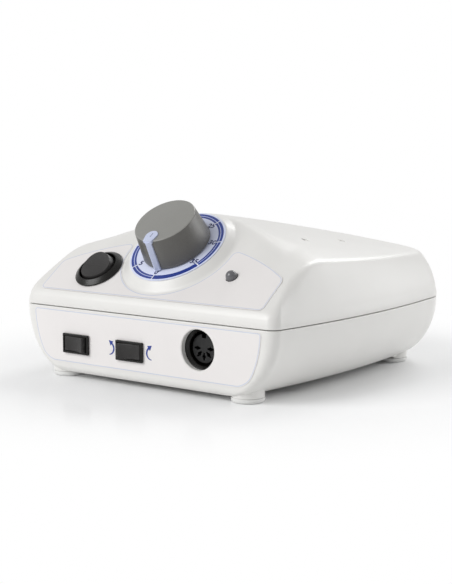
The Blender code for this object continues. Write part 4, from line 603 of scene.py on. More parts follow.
def edge_profile(reach, turn, crease):
    """Insets and drops from the side round the edge: a shoulder, then a small round to the top."""
    edge_soft = (0.0001, 0.0016)
    soft = edge_soft[0] + (edge_soft[1] - edge_soft[0]) * crease
    radius = reach / (1.0 - math.cos(turn))
    last = turn - soft / radius
    points = []
    for step in range(EDGE_STEPS + 1):
        angle = last * step / EDGE_STEPS
        points.append((radius * (1.0 - math.cos(angle)), radius * (math.sin(turn) - math.sin(angle))))
    start_in, start_drop = points[-1]
    for step in range(1, EDGE_SOFT_STEPS + 1):
        share = step / EDGE_SOFT_STEPS
        first = (1.0 - share) ** 2
        second = 2.0 * share * (1.0 - share)
        third = share * share
        points.append((start_in * first + reach * second + (reach + soft) * third, start_drop * first))
    return points


def cover_side(wall):
    """Rings up the side and round the edge; wall is how far they lie inside the outer skin."""
    foot = SEAM_Z + SEAM_GAP / 2.0
    rings = [ring_at(foot, wall)] if wall else rim_rings(foot, 1.0, RIM_STEPS + 1)
    rings.append(ring_at(foot + BAND_HEIGHT, wall))
    edges = cover_edges()
    profiles = [edge_profile(max(edge[2] - wall, SINK), *edge[3:]) for edge in edges]
    for step in range(len(profiles[0])):
        insets = []
        drops = []
        for (rise, draft, *edge), profile in zip(edges, profiles):
            inset, drop = profile[step]
            insets.append(wall + inset + draft * (1.0 - drop / rise))
            drops.append(wall * COVER_SLOPE_SHARE + drop)
        ring = []
        for (x, depth), drop in zip(outline(insets), drops):
            ring.append(Vector((x, FRONT_Y + depth, cover_height(x, depth) - drop)))
        rings.append(ring)
    return rings


BOSS_CORNERS = (
    (BUSH_HOLE_RADIUS, BOSS_RISE), (BOSS_RADIUS, BOSS_RISE), (BOSS_FOOT_RADIUS, 0.0),
    (BOSS_OUTER_RADIUS, 0.0),
)
BOSS_PROFILE = rounded(BOSS_CORNERS, (BOSS_RIM_ROUND, BOSS_FOOT_ROUND), 8)


def cover_top(edge, wall):
    """Rings from the edge in to the dial boss, and then up the boss to the hole at its middle."""
    crowding = 1.4
    boss_low_share = 0.3
    bearings = []
    for point in edge:
        slope = (point.y - FRONT_Y) / math.cos(PANEL_TILT) - DIAL_SLOPE
        bearings.append(Vector((point.x, slope, 0.0)).normalized())
    place = on_dial()
    foot_ring = [place @ (bearing * BOSS_OUTER_RADIUS) for bearing in bearings]
    rings = []
    for step in range(1, TOP_STEPS + 1):
        share = 1.0 - (1.0 - step / TOP_STEPS) ** crowding
        ring = [start.lerp(end, share) for start, end in zip(edge, foot_ring)]
        for point in ring:
            point.z = cover_height(point.x, point.y - FRONT_Y) - wall * COVER_SLOPE_SHARE
        rings.append(ring)
    for radius, rise in reversed(BOSS_PROFILE[:-1]):
        ring = [place @ (bearing * radius + Vector((0.0, 0.0, rise))) for bearing in bearings]
        for point in ring:
            depth = point.y - FRONT_Y
            if rise < BOSS_RISE * boss_low_share:
                point.z += min(cover_height(point.x, depth) - panel_height(depth), 0.0)
            point.z -= wall * COVER_SLOPE_SHARE
        rings.append(ring)
    return rings


def cover_shell():
    outer = cover_side(0.0)
    outer += cover_top(outer[-1], 0.0)
    inner = cover_side(WALL)
    inner += cover_top(inner[-1], WALL)
    return loft("cover_shell", outer + list(reversed(inner)), "white_case", closed_run=True)


POST_PLACES = middles("case_screw", 4)
POWER_HOLE = 0.01005
LIGHT_HOLE = 0.0028


def panel_holes(reach):
    """Cutters through the panel, or through its film, for the power switch and the light."""
    power = rod("power_hole", POWER_HOLE, 2.0 * reach, on_panel(POWER_X, POWER_SLOPE, -reach))
    return [power, rod("light_hole", LIGHT_HOLE, 2.0 * reach, on_panel(LIGHT_X, LIGHT_SLOPE, -reach))]


def upper_cover():
    post_radius = 0.0036
    screw_thread = 0.0085
    rest_x = 0.042
    rest_depths = (0.0625, 0.0925)
    rest_radius = 0.0017
    rest_sink = 0.0016
    floor_round = 0.0004
    shell = cover_shell()
    foot = SEAM_Z + SEAM_GAP
    posts = []
    for place in POST_PLACES:
        top = cover_height(abs(place.x) + post_radius, place.y - FRONT_Y) - WALL
        posts += uprights("cover_post", post_radius, foot, top, [place])
    join(shell, *posts)
    holes = panel_holes(BOSS_RADIUS / 2.0)
    length = rest_sink + OVERRUN
    for depth in rest_depths:
        place = at(rest_x, FRONT_Y + depth, cover_height(rest_x, depth) - rest_sink)
        holes.append(rod("rest_hole", rest_radius, length, place, edge=floor_round))
    holes += uprights("pilot", SCREW_BORE, foot - OVERRUN, foot + screw_thread, POST_PLACES)
    cut(shell, *holes)
    piece(smooth(shell, 40.0), "root", "white_case", "upper_cover")


# Lower housing
def housing_skin(wall):
    rings = [] if wall else rim_rings(SEAM_Z - SEAM_GAP / 2.0, -1.0, RIM_STEPS)
    steps = INNER_STEPS if wall else HULL_STEPS
    drop = SEAM_Z - UNDERSIDE_Z - wall
    for step in range(steps + 1):
        angle = QUARTER * step / steps
        z = SEAM_Z - drop * math.sin(angle)
        side = wall + (HULL_INSET - wall / 2.0) * (1.0 - math.cos(angle))
        fall = min(max((UNDERSIDE_Z + BOTTOM_ROUND - z) / (BOTTOM_ROUND - wall), 0.0), 1.0)
        end = wall + (BOTTOM_ROUND - wall) * (1.0 - math.sqrt(1.0 - fall * fall))
        if step == 0:
            z -= SEAM_GAP / 2.0 + (0.0 if wall else RIM_ROUND)
        rings.append(ring_at(z, side, end))
    return rings


def tongue():
    """A rib inside the rim of the housing that laps behind the rim of the cover."""
    rise = 0.0016
    reach_below = 0.0018
    thick = 0.0012
    overlap = 0.0004
    clearance = 0.0007
    clear = WALL + clearance
    inner = clear + thick
    lap = SEAM_Z + rise
    root = SEAM_Z - reach_below
    shelf = SEAM_Z - SEAM_GAP
    bite = WALL - overlap
    profile = ((bite, root), (bite, shelf), (clear, shelf), (clear, lap), (inner, lap), (inner, root))
    return loft("tongue", [ring_at(z, inset) for inset, z in profile], closed_run=True)


FLOOR_Z = UNDERSIDE_Z + WALL
FOOT_PLACES = middles("foot", 4)
BOARD_PLACES = middles("board_screw", 4)
CLAMP_PLACES = middles("clamp_screw", 2)


def housing_posts():
    """What stands on the housing's floor: posts for screws, pads over the feet and the plinth."""
    pad_radius = 0.007
    pad_rise = 0.0065
    post_radius = 0.0044
    board_post_radius = 0.003
    clamp_post_radius = 0.0038
    collar_wall = 0.0012
    pad_round = 0.0001
    plinth_corner = 0.001
    low = FLOOR_Z - SINK
    pad_low = UNDERSIDE_Z - GAP
    board_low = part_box("circuit_board")[0].z - GAP
    core_low, core_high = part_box("transformer_core")
    plinth_top = core_low.z - GAP
    made = uprights("case_post", post_radius, UNDERSIDE_Z + SINK, SEAM_Z - SEAM_GAP, POST_PLACES)
    made += uprights("foot_pad", pad_radius, pad_low, pad_low + pad_rise, FOOT_PLACES, pad_round)
    made += uprights("board_post", board_post_radius, low, board_low, BOARD_PLACES)
    made += uprights("clamp_post", clamp_post_radius, low, plinth_top, CLAMP_PLACES)
    width, length = (core_high - core_low).xy - Vector((2.0 * OVERRUN, 2.0 * OVERRUN))
    place = at(*((core_low + core_high) / 2.0).xy, low)
    made.append(bar("plinth", width, length, plinth_top - low, place, corner=plinth_corner))
    place = on_front(SOCKET_X, SOCKET_Z, WALL + COLLAR_DEPTH)
    made.append(rod("collar", SOCKET_BORE + collar_wall, COLLAR_DEPTH + SINK, place))
    return made


SOCKET_BORE = 0.0095
SOCKET_HOLE = 0.00866
SWITCH_OPENING = (0.0144, 0.008)
OPENING_CORNER = 0.0003


def front_holes(depth, length, clearance=0.0):
    """Cutters through the front, or through its film, for the two switches and the socket."""
    made = []
    for name in ("mode", "direction"):
        place = on_front(switch_x(name), SWITCH_Z, depth)
        made.append(bar("switch_hole", *SWITCH_OPENING, length, place, corner=OPENING_CORNER))
    place = on_front(SOCKET_X, SOCKET_Z, depth)
    made.append(rod("socket_hole", SOCKET_HOLE + clearance, length, place, segments=TURN_SEGMENTS))
    return made


def housing_holes():
    screw_head_bore = 0.0031
    screw_seat_z = 0.0225
    board_screw_bore = 0.0015
    stem_bore = 0.0022
    stem_rise = 0.0048
    inlet_opening = (0.0274, 0.02)
    fuse_opening = 0.0065
    jack_opening = 0.0032
    inside = WALL + OVERRUN
    through = inside + OVERRUN
    made = front_holes(inside, through)
    place = on_front(SOCKET_X, SOCKET_Z, inside + COLLAR_DEPTH)
    made.append(rod("collar_bore", SOCKET_BORE, COLLAR_DEPTH + OVERRUN, place))
    place = on_rear("mains_inlet", inside)
    made.append(bar("inlet_hole", *inlet_opening, through, place, corner=OPENING_CORNER))
    made.append(rod("fuse_hole", fuse_opening, through, on_rear("fuse_holder", inside)))
    made.append(rod("jack_hole", jack_opening, through, on_rear("pedal_jack_nut", inside)))
    below = UNDERSIDE_Z - OVERRUN
    made += uprights("head_bore", screw_head_bore, below, screw_seat_z, POST_PLACES)
    made += uprights("shank_bore", SCREW_BORE, below, SEAM_Z + OVERRUN, POST_PLACES)
    made += uprights("stem_bore", stem_bore, below, stem_rise, FOOT_PLACES)
    made += uprights("pilot", board_screw_bore, FLOOR_Z, SEAM_Z, BOARD_PLACES + CLAMP_PLACES)
    return made


def lower_housing():
    rings = list(reversed(housing_skin(0.0))) + housing_skin(WALL)
    shell = loft("housing_shell", rings, "white_case", close_first=True, close_last=True)
    join(shell, tongue())
    join(shell, *housing_posts())
    cut(shell, *housing_holes())
    piece(smooth(shell, 40.0), "root", "white_case", "lower_housing")


# Printed films
def drawn_in(points, distance):
    """A counter-clockwise outline moved inwards by a distance."""
    least_share = 0.5
    moved = []
    for index, point in enumerate(points):
        here = Vector(point)
        first = (here - Vector(points[index - 1])).normalized()
        second = (Vector(points[(index + 1) % len(points)]) - here).normalized()
        inward = Vector((-first.y - second.y, first.x + second.x)).normalized()
        share = max(inward.dot(Vector((-first.y, first.x))), least_share)
        moved.append(here + inward * (distance / share))
    return moved


def film(name, points, place):
    """A film whose edge is eased and carries a pale printed line all the way round."""
    steps = (
        (0.0, 0.0), (0.0, FILM_THIN - FILM_EDGE), (FILM_EDGE, FILM_THIN),
        (LABEL_LINE_MARGIN, FILM_THIN), (LABEL_LINE_MARGIN + LABEL_LINE, FILM_THIN),
    )
    rings = []
    for inset, height in steps:
        rings.append([place @ Vector((point.x, point.y, height)) for point in drawn_in(points, inset)])
    made = loft(name, rings, "film", close_first=True, close_last=True)
    made.data.materials.append(FINISHES["film_line"])
    line = len(steps) - 2
    for face in made.data.polygons[line * len(points) : (line + 1) * len(points)]:
        face.material_index = 1
    return made


def corner_drop(height, radius):
    """How far a rounded corner draws a side in at a height above its end."""
    away = max(radius - height, 0.0)
    return radius - math.sqrt(radius * radius - away * away)


def front_label():
    top = 0.0309
    foot = 0.0073
    half = 0.0633
    taper = 0.75
    foot_round = 0.0045
    top_round = 0.0016
    side = []
    height = top - foot
    for step in range(CURVE_STEPS + 1):
        rise = height * (1.0 - math.cos(math.radians(180.0) * step / CURVE_STEPS)) / 2.0
        x = half - taper * hull_inset(foot + rise)
        x -= corner_drop(rise, foot_round) + corner_drop(height - rise, top_round)
        side.append((x, foot + rise))
    points = side + [(-x, z) for x, z in reversed(side)]
    label = film("front_film", points, on_front(0.0, 0.0, -FILM_LIFT))
    cut(label, *front_holes(OVERRUN, 2.0 * (FILM_GAP + OVERRUN), GAP))
    piece(smooth(label, 20.0), "root", "film", "front_label")


def panel_arch(x):
    """Way up the slope of the label's arched upper edge."""
    peak = 0.0405
    arch = 0.1125
    return peak - arch + math.sqrt(arch**2 - x * x)


def control_label():
    panel_label_half = 0.062
    foot = 0.0027
    panel_label_cut = 0.028
    tip_x = 0.0278
    pitch = 0.004
    rounds = (0.0025, 0.005, 0.0028)
    corners = [(panel_label_half, foot), (panel_label_half, panel_arch(panel_label_half))]
    radii = list(rounds[:2])
    x = panel_label_half - 2.0 * pitch
    while x > tip_x + pitch:
        corners.append((x, panel_arch(x)))
        radii.append(0.0)
        x -= pitch
    corners.append((tip_x, panel_arch(tip_x)))
    radii.append(rounds[2])
    top = math.degrees(math.asin((panel_arch(tip_x) - DIAL_SLOPE) / panel_label_cut))
    room = math.degrees(pitch / panel_label_cut)
    notch = arc(0.0, DIAL_SLOPE, panel_label_cut, top - room, -90.0, CURVE_STEPS)
    half = corners + notch
    radii += [0.0] * len(notch)
    points = half + [(-x, slope) for x, slope in reversed(half[:-1])]
    radii += list(reversed(radii[:-1]))
    label = film("panel_film", rounded_loop(points, radii, 8), on_panel(0.0, 0.0, FILM_LIFT))
    cut(label, *panel_holes(OVERRUN))
    piece(smooth(label, 20.0), "root", "film", "control_label")


def turn_arrow(name, hand):
    """A curved arrow beside the direction switch; hand is 1 for the one on its right."""
    radius = 0.0027
    width = 0.0008
    tail_width = 0.00035
    head_half = 0.0013
    head_length = 0.0023
    turn = (268.0, 128.0)
    away = 0.0018
    arrow_raise = 0.0001
    outer = []
    inner = []
    start, end = turn
    for step in range(CURVE_STEPS + 1):
        share = step / CURVE_STEPS
        angle = math.radians(start + (end - start) * share)
        spoke = Vector((math.cos(angle), math.sin(angle)))
        half = (tail_width + (width - tail_width) * min(2.0 * share, 1.0)) / 2.0
        outer.append(spoke * (radius + half))
        inner.append(spoke * (radius - half))
    ahead = Vector((spoke.y, -spoke.x))
    head = [
        spoke * (radius + head_half),
        spoke * radius + ahead * head_length,
        spoke * (radius - head_half),
    ]
    centre = switch_x("direction") + hand * (SWITCH_SIZE[0] / 2.0 + away + radius)
    points = outer + head + list(reversed(inner))
    points = [(centre + hand * point.x, SWITCH_Z + arrow_raise + point.y) for point in points]
    place = on_front(0.0, 0.0, -FILM_LIFT - FILM_THIN)
    piece(prism(name, points, INK_THICK, place, "ink_blue"), "root", "film")


# Dial
ON_DIAL = BOSS_RISE + FILM_GAP + PLATE_THICK


def band(name, inner, outer, start, end, material):
    """A printed arc on the dial; bearings run clockwise in degrees from the way up the slope."""
    pitch = 1.5
    steps = max(int((end - start) / pitch), 2)
    points = arc(0.0, 0.0, outer, 90.0 - start, 90.0 - end, steps)
    points += arc(0.0, 0.0, inner, 90.0 - end, 90.0 - start, steps)
    piece(prism(name, points, INK_THICK, on_dial(ON_DIAL), material), "root", "dial_film")


def dial_plate():
    plate_radius = 0.0226
    plate_hole = 0.007
    corners = (
        (plate_hole, PLATE_THICK), (plate_radius, PLATE_THICK), (plate_radius, 0.0), (plate_hole, 0.0),
    )
    profile = rounded(corners, (FILM_EDGE, 0.0))
    plate = turned("dial_disc", profile, on_dial(BOSS_RISE + FILM_GAP), "dial_film")
    piece(plate, "root", "dial_film", "dial_plate")


def dial_print():
    ring_outer = 0.0218
    ring_inner = 0.0194
    ring_bands = (
        (0.02075, "ink_blue"), (0.0205, "ink_pale"), (0.02032, "ink_white"), (ring_inner, "ink_blue"),
    )
    tick_width = 0.0005
    tick_reach = (0.0188, 0.0221)
    dial_start = 180.5
    dial_pitch = 42.857
    dial_top = 35
    dial_count = 5
    numeral_radius = 0.0175
    tick_gap = 0.0006
    tick_proud = 1.2
    last = dial_top // dial_count
    away = math.degrees(tick_gap / (2.0 * ring_outer))
    for number in range(last):
        start = dial_start + number * dial_pitch + away
        end = dial_start + (number + 1) * dial_pitch - away
        outer = ring_outer
        for count, (inner, ink) in enumerate(ring_bands):
            band(f"scale_{number}_line_{count}", inner, outer, start, end, ink)
            outer = inner
    start = dial_start + last * dial_pitch + away
    band("scale_stop_band", ring_inner, ring_outer, start, dial_start + 360.0 - away, "ink_blue")
    place = on_dial(ON_DIAL)
    numerals = bmesh.new()
    for number in range(last + 1):
        bearing = dial_start + number * dial_pitch
        turn = Matrix.Rotation(math.radians(-bearing), 4, "Z")
        low, high = tick_reach
        tick = prism(
            f"tick_{number}",
            rounded_rectangle(tick_width, high - low, FILM_EDGE),
            tick_proud * INK_THICK,
            place @ turn @ at(0.0, (low + high) / 2.0, 0.0),
            "ink_white",
        )
        piece(tick, "root", "dial_film")
        spoke = turn @ Vector((0.0, numeral_radius, 0.0))
        numerals.from_mesh(numeral(str(number * dial_count), place @ Matrix.Translation(spoke)))
    bmesh.ops.remove_doubles(numerals, verts=numerals.verts, dist=FILM_EDGE / 10.0)
    piece(mesh_object("dial_numerals", numerals, "ink_dark"), "root", "dial_film")


def numeral(words, place):
    """The mesh of a number that stands upright on its place."""
    size = 0.0038
    weight = 0.00011
    curve = bpy.data.curves.new("numeral", "FONT")
    curve.body = words
    curve.size = size
    curve.offset = weight
    curve.extrude = INK_THICK / 2.0
    curve.align_x = "CENTER"
    curve.align_y = "CENTER"
    curve.resolution_u = 4
    holder = bpy.data.objects.new("numeral", curve)
    SCENE.collection.objects.link(holder)
    mesh = bpy.data.meshes.new_from_object(holder.evaluated_get(bpy.context.evaluated_depsgraph_get()))
    mesh.transform(place @ at(0.0, 0.0, INK_THICK / 2.0))
    bpy.data.objects.remove(holder)
    return mesh


# Speed knob
POINTER_INNER = 0.0077
POINTER_PROUD = 0.00045
POINTER_SINK = 0.001
POINTER_HEAD_RADIUS = 0.003
POINTER_EDGE = 0.00022


def knob_radius(rise):
    share = (rise - KNOB_LOW) / (KNOB_TOP - KNOB_LOW)
    return KNOB_BASE_RADIUS + (KNOB_TOP_RADIUS - KNOB_BASE_RADIUS) * share


def pointer_bar(name, clearance, material=None):
    """The part of the pointer that runs down the flank: a bar with a ridge along its middle."""
    bar_width = 0.0034
    pointer_ridge = 0.0012
    pointer_toe = 0.0005
    spare = OVERRUN if clearance else 0.0
    rings = []
    low = KNOB_LOW - spare
    high = KNOB_TOP + (spare or -POINTER_EDGE)
    for rise, toe in ((low, pointer_toe), (high, 0.0)):
        skin = knob_radius(rise)
        back = skin - POINTER_SINK - clearance
        shoulder = skin + POINTER_PROUD / 2.0 + toe + spare
        ridge = shoulder + pointer_ridge
        half = bar_width / 2.0 + clearance
        section = ((-half, back), (half, back), (half, shoulder), (0.0, ridge), (-half, shoulder))
        rings.append([Vector((x, -radius, rise)) for x, radius in section])
    made = loft(name, rings, material, close_first=True, close_last=True)
    made.data.transform(on_dial(BOSS_RISE))
    return made


def pointer_pad(name, clearance, material=None):
    """The part of the pointer on the knob's top: a strip with a wider round head."""
    pad_width = 0.0044
    head_sweep = (-20.0, 200.0)
    head_steps = 40
    spare = OVERRUN if clearance else 0.0
    half = pad_width / 2.0 + clearance
    head = POINTER_HEAD_RADIUS + clearance
    inner = POINTER_INNER + POINTER_HEAD_RADIUS
    outer = KNOB_TOP_RADIUS + POINTER_PROUD + spare
    points = [(half, -outer)] + arc(0.0, -inner, head, *head_sweep, head_steps) + [(-half, -outer)]
    floor = KNOB_TOP - POINTER_SINK - clearance
    height = POINTER_SINK + POINTER_PROUD + clearance + spare
    return prism(name, points, height, on_dial(BOSS_RISE + floor), material)


def knob_pointer():
    pointer_shade_line = (0.00028, 0.0026)
    pointer = pointer_pad("pointer", 0.0, "pointer_white")
    join(pointer, pointer_bar("pointer_flank", 0.0, "pointer_white"))
    bevelled(pointer, POINTER_EDGE, degrees=25.0)
    piece(pointer, "knob", "pointer_white", "knob_pointer")
    # A dark strip along the pad's middle: painted shade where the pointer's ridge creases.
    width, length = pointer_shade_line
    start = POINTER_INNER + POINTER_HEAD_RADIUS / 2.0
    place = on_dial(BOSS_RISE + KNOB_TOP + POINTER_PROUD - INK_THICK) @ at(0.0, -start - length / 2.0, 0.0)
    line = bar("pointer_shade_line", width, length, 2.0 * INK_THICK, place, "pointer_crease_shade")
    piece(line, "knob", "pointer_white")


def speed_knob():
    wall = 0.0022
    ceiling_thick = 0.0025
    top_round = 0.0007
    foot_round = 0.0003
    bore = 0.0033
    hub_wall = 0.0019
    hub_low = 0.0036
    shade_split_facing = 0.5
    ceiling = KNOB_TOP - ceiling_thick
    hub = bore + hub_wall
    corners = (
        (0.0, KNOB_TOP), (KNOB_TOP_RADIUS, KNOB_TOP), (KNOB_BASE_RADIUS, KNOB_LOW),
        (KNOB_BASE_RADIUS - wall, KNOB_LOW), (KNOB_TOP_RADIUS - wall, ceiling), (hub, ceiling),
        (hub, hub_low), (bore, hub_low), (bore, ceiling), (0.0, ceiling),
    )
    radii = (top_round, foot_round, foot_round, SINK, SINK, foot_round, 0.0, 0.0)
    knob = turned("knob_shell", rounded(corners, radii, 6), on_dial(BOSS_RISE), "grey_knob", segments=180)
    cut(knob, pointer_pad("pad_seat", FILM_GAP), pointer_bar("bar_seat", FILM_GAP))
    # Faces that do not face up the knob's axis get the darker grey: painted shade on the knob's side.
    knob.data.materials.append(FINISHES["grey_knob_shaded_side"])
    for face in knob.data.polygons:
        face.material_index = 0 if face.normal.dot(PANEL_NORMAL) > shade_split_facing else 1
    piece(smooth(knob, 28.0), "knob", "grey_knob", "speed_knob")


# Round power switch
POWER_WELL_RADIUS = 0.0089
POWER_PIVOT_DEPTH = 0.001
TRUNNION_RADIUS = 0.0007
TO_X = Matrix.Rotation(QUARTER, 4, "Y")


def power_switch_body():
    bezel_radius = 0.0115
    bezel_rise = 0.0019
    bezel_lip = 0.0004
    bezel_edge = 0.0003
    body_radius = 0.00975
    body_length = 0.016
    well_depth = 0.0062
    low = 2.0 * FILM_GAP + FILM_THICK
    rim = low + bezel_rise
    base = -body_length
    corners = (
        (0.0, -well_depth), (POWER_WELL_RADIUS, -well_depth), (POWER_WELL_RADIUS, rim),
        (POWER_WELL_RADIUS + bezel_lip, rim), (bezel_radius, low + bezel_lip), (bezel_radius, low),
        (body_radius, low), (body_radius, base), (0.0, base),
    )
    edge = bezel_edge
    radii = (edge, edge / 2.0, edge, edge, edge / 2.0, 0.0, edge)
    place = on_panel(POWER_X, POWER_SLOPE, 0.0)
    body = turned("power_switch_case", rounded(corners, radii, 4), place, "black_plastic")
    reach = body_radius + OVERRUN
    pivot = place @ at(0.0, 0.0, -POWER_PIVOT_DEPTH) @ TO_X @ at(0.0, 0.0, -reach)
    cut(body, rod("pivot_bore", TRUNNION_RADIUS + GAP, 2.0 * reach, pivot))
    piece(smooth(body), "root", "black_plastic", "power_switch_body")


def power_rocker():
    """A round rocker with a dished face, a tapered side and a keel below."""
    top = 0.0055
    dish = 0.001
    taper = 0.0016
    skirt = 0.0005
    keel = 0.0037
    edge = 0.0003
    tilt = math.radians(10.0)
    pivot = on_panel(POWER_X, POWER_SLOPE, -POWER_PIVOT_DEPTH) @ Matrix.Rotation(tilt, 4, "X")
    radius = POWER_WELL_RADIUS - GAP
    corners = (
        (0.0, top), (radius - taper, top), (radius, 0.0), (radius, -skirt), (radius / 2.0, -keel),
        (0.0, -keel),
    )
    rocker = turned("power_paddle", corners, pivot, "rocker_black", segments=96)
    reach = POWER_WELL_RADIUS + GAP
    join(rocker, rod("trunnion", TRUNNION_RADIUS, 2.0 * reach, pivot @ TO_X @ at(0.0, 0.0, -reach)))
    face = radius - taper
    dish_radius = (face**2 + dish**2) / (2.0 * dish)
    dish_rise = top - dish + dish_radius
    dish_place = pivot @ at(0.0, 0.0, dish_rise) @ TO_X @ at(0.0, 0.0, -radius)
    cut(rocker, rod("dish", dish_radius, 2.0 * radius, dish_place, segments=240))
    bevelled(rocker, edge, degrees=35.0)
    piece(smooth(rocker, 50.0), "power_rocker", "black_plastic", "power_rocker")


# Rectangular rocker switches
SWITCH_SIZE = (0.0152, 0.0088)
SWITCH_SHIFT = 0.0005
SWITCH_PIVOT_DEPTH = 0.001


def switch_body(name, x):
    trunk = (0.0138, 0.0074)
    switch_well = (0.0135, 0.007)
    low = 2.0 * FILM_GAP + FILM_THICK
    flange = 0.0009
    edge = 0.00025
    corner = 0.0004
    body_depth = 0.0105
    well_depth = 0.0036
    place = on_front(x, SWITCH_Z, -low)
    body = bar(name, *SWITCH_SIZE, flange, place, "black_plastic", corner, edge)
    length = body_depth + low + flange / 2.0
    place = on_front(x, SWITCH_Z, body_depth)
    join(body, bar("trunk", *trunk, length, place, "black_plastic", OPENING_CORNER))
    place = on_front(x, SWITCH_Z, well_depth)
    well = bar("well", *switch_well, well_depth + low + OVERRUN, place)
    reach = SWITCH_SIZE[1] / 2.0
    pivot = at(x, FRONT_Y + SWITCH_PIVOT_DEPTH, SWITCH_Z - reach)
    cut(body, well, rod("pivot_bore", TRUNNION_RADIUS + 2.0 * FILM_GAP, 2.0 * reach, pivot))
    return smooth(body)


def switch_paddle(name, x, tilt):
    """A paddle with a dished face, thicker in its middle below where its pins are."""
    paddle_end = 0.0063
    half = 0.0033
    rise = 0.0034
    dish = 0.0009
    taper = 0.0003
    skirt = 0.0006
    keel = 0.0021
    paddle_round = 0.0005
    edge = 0.0003
    trunnion_reach = 0.0004
    face_steps = 24
    trim = 2
    end = paddle_end - taper
    dish_radius = (end**2 + dish**2) / (2.0 * dish)
    sweep = math.degrees(math.asin(end / dish_radius))
    middle_z = rise - dish + dish_radius
    first, *face, last = arc(0.0, middle_z, dish_radius, 270.0 + sweep, 270.0 - sweep, face_steps)
    face = face[trim:-trim]
    points = [(-paddle_end, -skirt), (0.0, -keel), (paddle_end, -skirt), first, *face, last]
    radii = [paddle_round, SINK, paddle_round, paddle_round] + [0.0] * len(face) + [paddle_round]
    outward = Matrix.Scale(-1.0, 4, Vector((0.0, 1.0, 0.0)))
    pivot = at(x, FRONT_Y + SWITCH_PIVOT_DEPTH, SWITCH_Z)
    place = pivot @ Matrix.Rotation(tilt, 4, "Z") @ outward @ at(0.0, 0.0, -half)
    points = rounded_loop(points, radii, 4)
    paddle = prism(name, points, 2.0 * half, place, "rocker_black", edge, both_ends=True)
    reach = half + trunnion_reach
    join(paddle, rod("trunnion", TRUNNION_RADIUS, 2.0 * reach, pivot @ at(0.0, 0.0, -reach)))
    return smooth(paddle)


def front_switches():
    switch_tilt = math.radians(8.0)
    for name, tilt in (("mode", -switch_tilt), ("direction", switch_tilt)):
        x = switch_x(name)
        body = switch_body(name + "_switch_case", x)
        piece(body, "root", "black_plastic", name + "_switch_body")
        paddle = switch_paddle(name + "_paddle", x, tilt)
        piece(paddle, name + "_rocker", "black_plastic", name + "_rocker")


# Motor socket
def motor_socket():
    shell_radius = 0.0092
    shell_bore = 0.0073
    shell_mouth = 0.0085
    shell_chamfer = 0.0012
    shell_back = 0.0015
    shell_length = 0.0096
    shell_edge = 0.0002
    insert_radius = 0.0062
    insert_depth = 0.0042
    insert_edge = 0.0003
    contact_circle = 0.0034
    contact_hole = 0.0009
    contact_depth = 0.003
    contact_slot = (0.0032, 0.0009)
    contact_count = 5
    key_size = (0.0022, 0.0018)
    place = on_front(SOCKET_X, SOCKET_Z, WALL + GAP)
    well = shell_back - shell_length
    corners = (
        (0.0, well), (shell_bore, well), (shell_bore, -shell_chamfer), (shell_mouth, 0.0),
        (shell_radius, 0.0), (shell_radius, -shell_length), (0.0, -shell_length),
    )
    radii = (shell_edge, 2.0 * shell_edge, shell_edge, shell_edge, shell_edge)
    shell = turned("socket_case", rounded(corners, radii, 4), place, "black_plastic")
    piece(shell, "root", "black_plastic", "motor_socket_shell")
    face = WALL + GAP - insert_depth
    low = well + GAP
    insert_corners = ((0.0, low), (insert_radius, low), (insert_radius, face), (0.0, face))
    profile = rounded(insert_corners, (0.0, insert_edge), 4)
    insert = turned("socket_insert", profile, place, "dark_plastic")
    cutters = []
    depth = contact_depth + OVERRUN
    for number in range(contact_count):
        angle = math.radians(180.0) * (1.0 + number / (contact_count - 1))
        spoke = place @ Matrix.Rotation(angle, 4, "Z") @ at(contact_circle, 0.0, face - contact_depth)
        cutters.append(rod("contact_hole", contact_hole, depth, spoke, segments=24))
        cutters.append(bar("contact_slot", *contact_slot, depth, spoke))
    key_y = insert_radius - key_size[1] / 2.0
    key_place = place @ at(0.0, key_y + OVERRUN / 2.0, face - contact_depth)
    cutters.append(bar("key", key_size[0], key_size[1] + OVERRUN, depth, key_place))
    cut(insert, *cutters)
    piece(smooth(insert), "root", "dark_plastic", "motor_socket_insert")


# Power light
def power_light():
    radius = 0.0025
    shoulder = 0.0008
    flange_radius = 0.0029
    flange_thick = 0.0009
    length = 0.005
    dome_steps = 16
    place = on_panel(LIGHT_X, LIGHT_SLOPE, 0.0)
    dome = arc(0.0, shoulder, radius, 90.0, 0.0, dome_steps)
    flange = flange_thick - length
    profile = [(0.0, shoulder + radius), *dome[1:], (radius, flange)]
    profile += [(flange_radius, flange), (flange_radius, -length), (0.0, -length)]
    lens = turned("power_lens", profile, place, "clear_lens", segments=64)
    piece(lens, "root", "clear_lens", "power_light")


# Feet
def feet():
    radius = 0.0071
    foot_round = 0.0013
    stem_radius = 0.0019
    stem_rise = 0.0045
    dimple = (0.0022, 0.0006)
    top = UNDERSIDE_Z - GAP - FILM_GAP
    corners = (
        (0.0, stem_rise), (stem_radius, stem_rise), (stem_radius, top), (radius, top),
        (radius, 0.0), (dimple[0], 0.0), (dimple[0] - dimple[1], dimple[1]), (0.0, dimple[1]),
    )
    radii = (GAP, 0.0, FILM_GAP, foot_round, GAP, GAP)
    profile = rounded(corners, radii, 5)
    for number, place in enumerate(FOOT_PLACES, 1):
        foot = turned(f"rubber_foot_{number}", profile, at(place.x, place.y, 0.0), "white_rubber")
        piece(foot, "root", "white_rubber", f"foot_{number}")


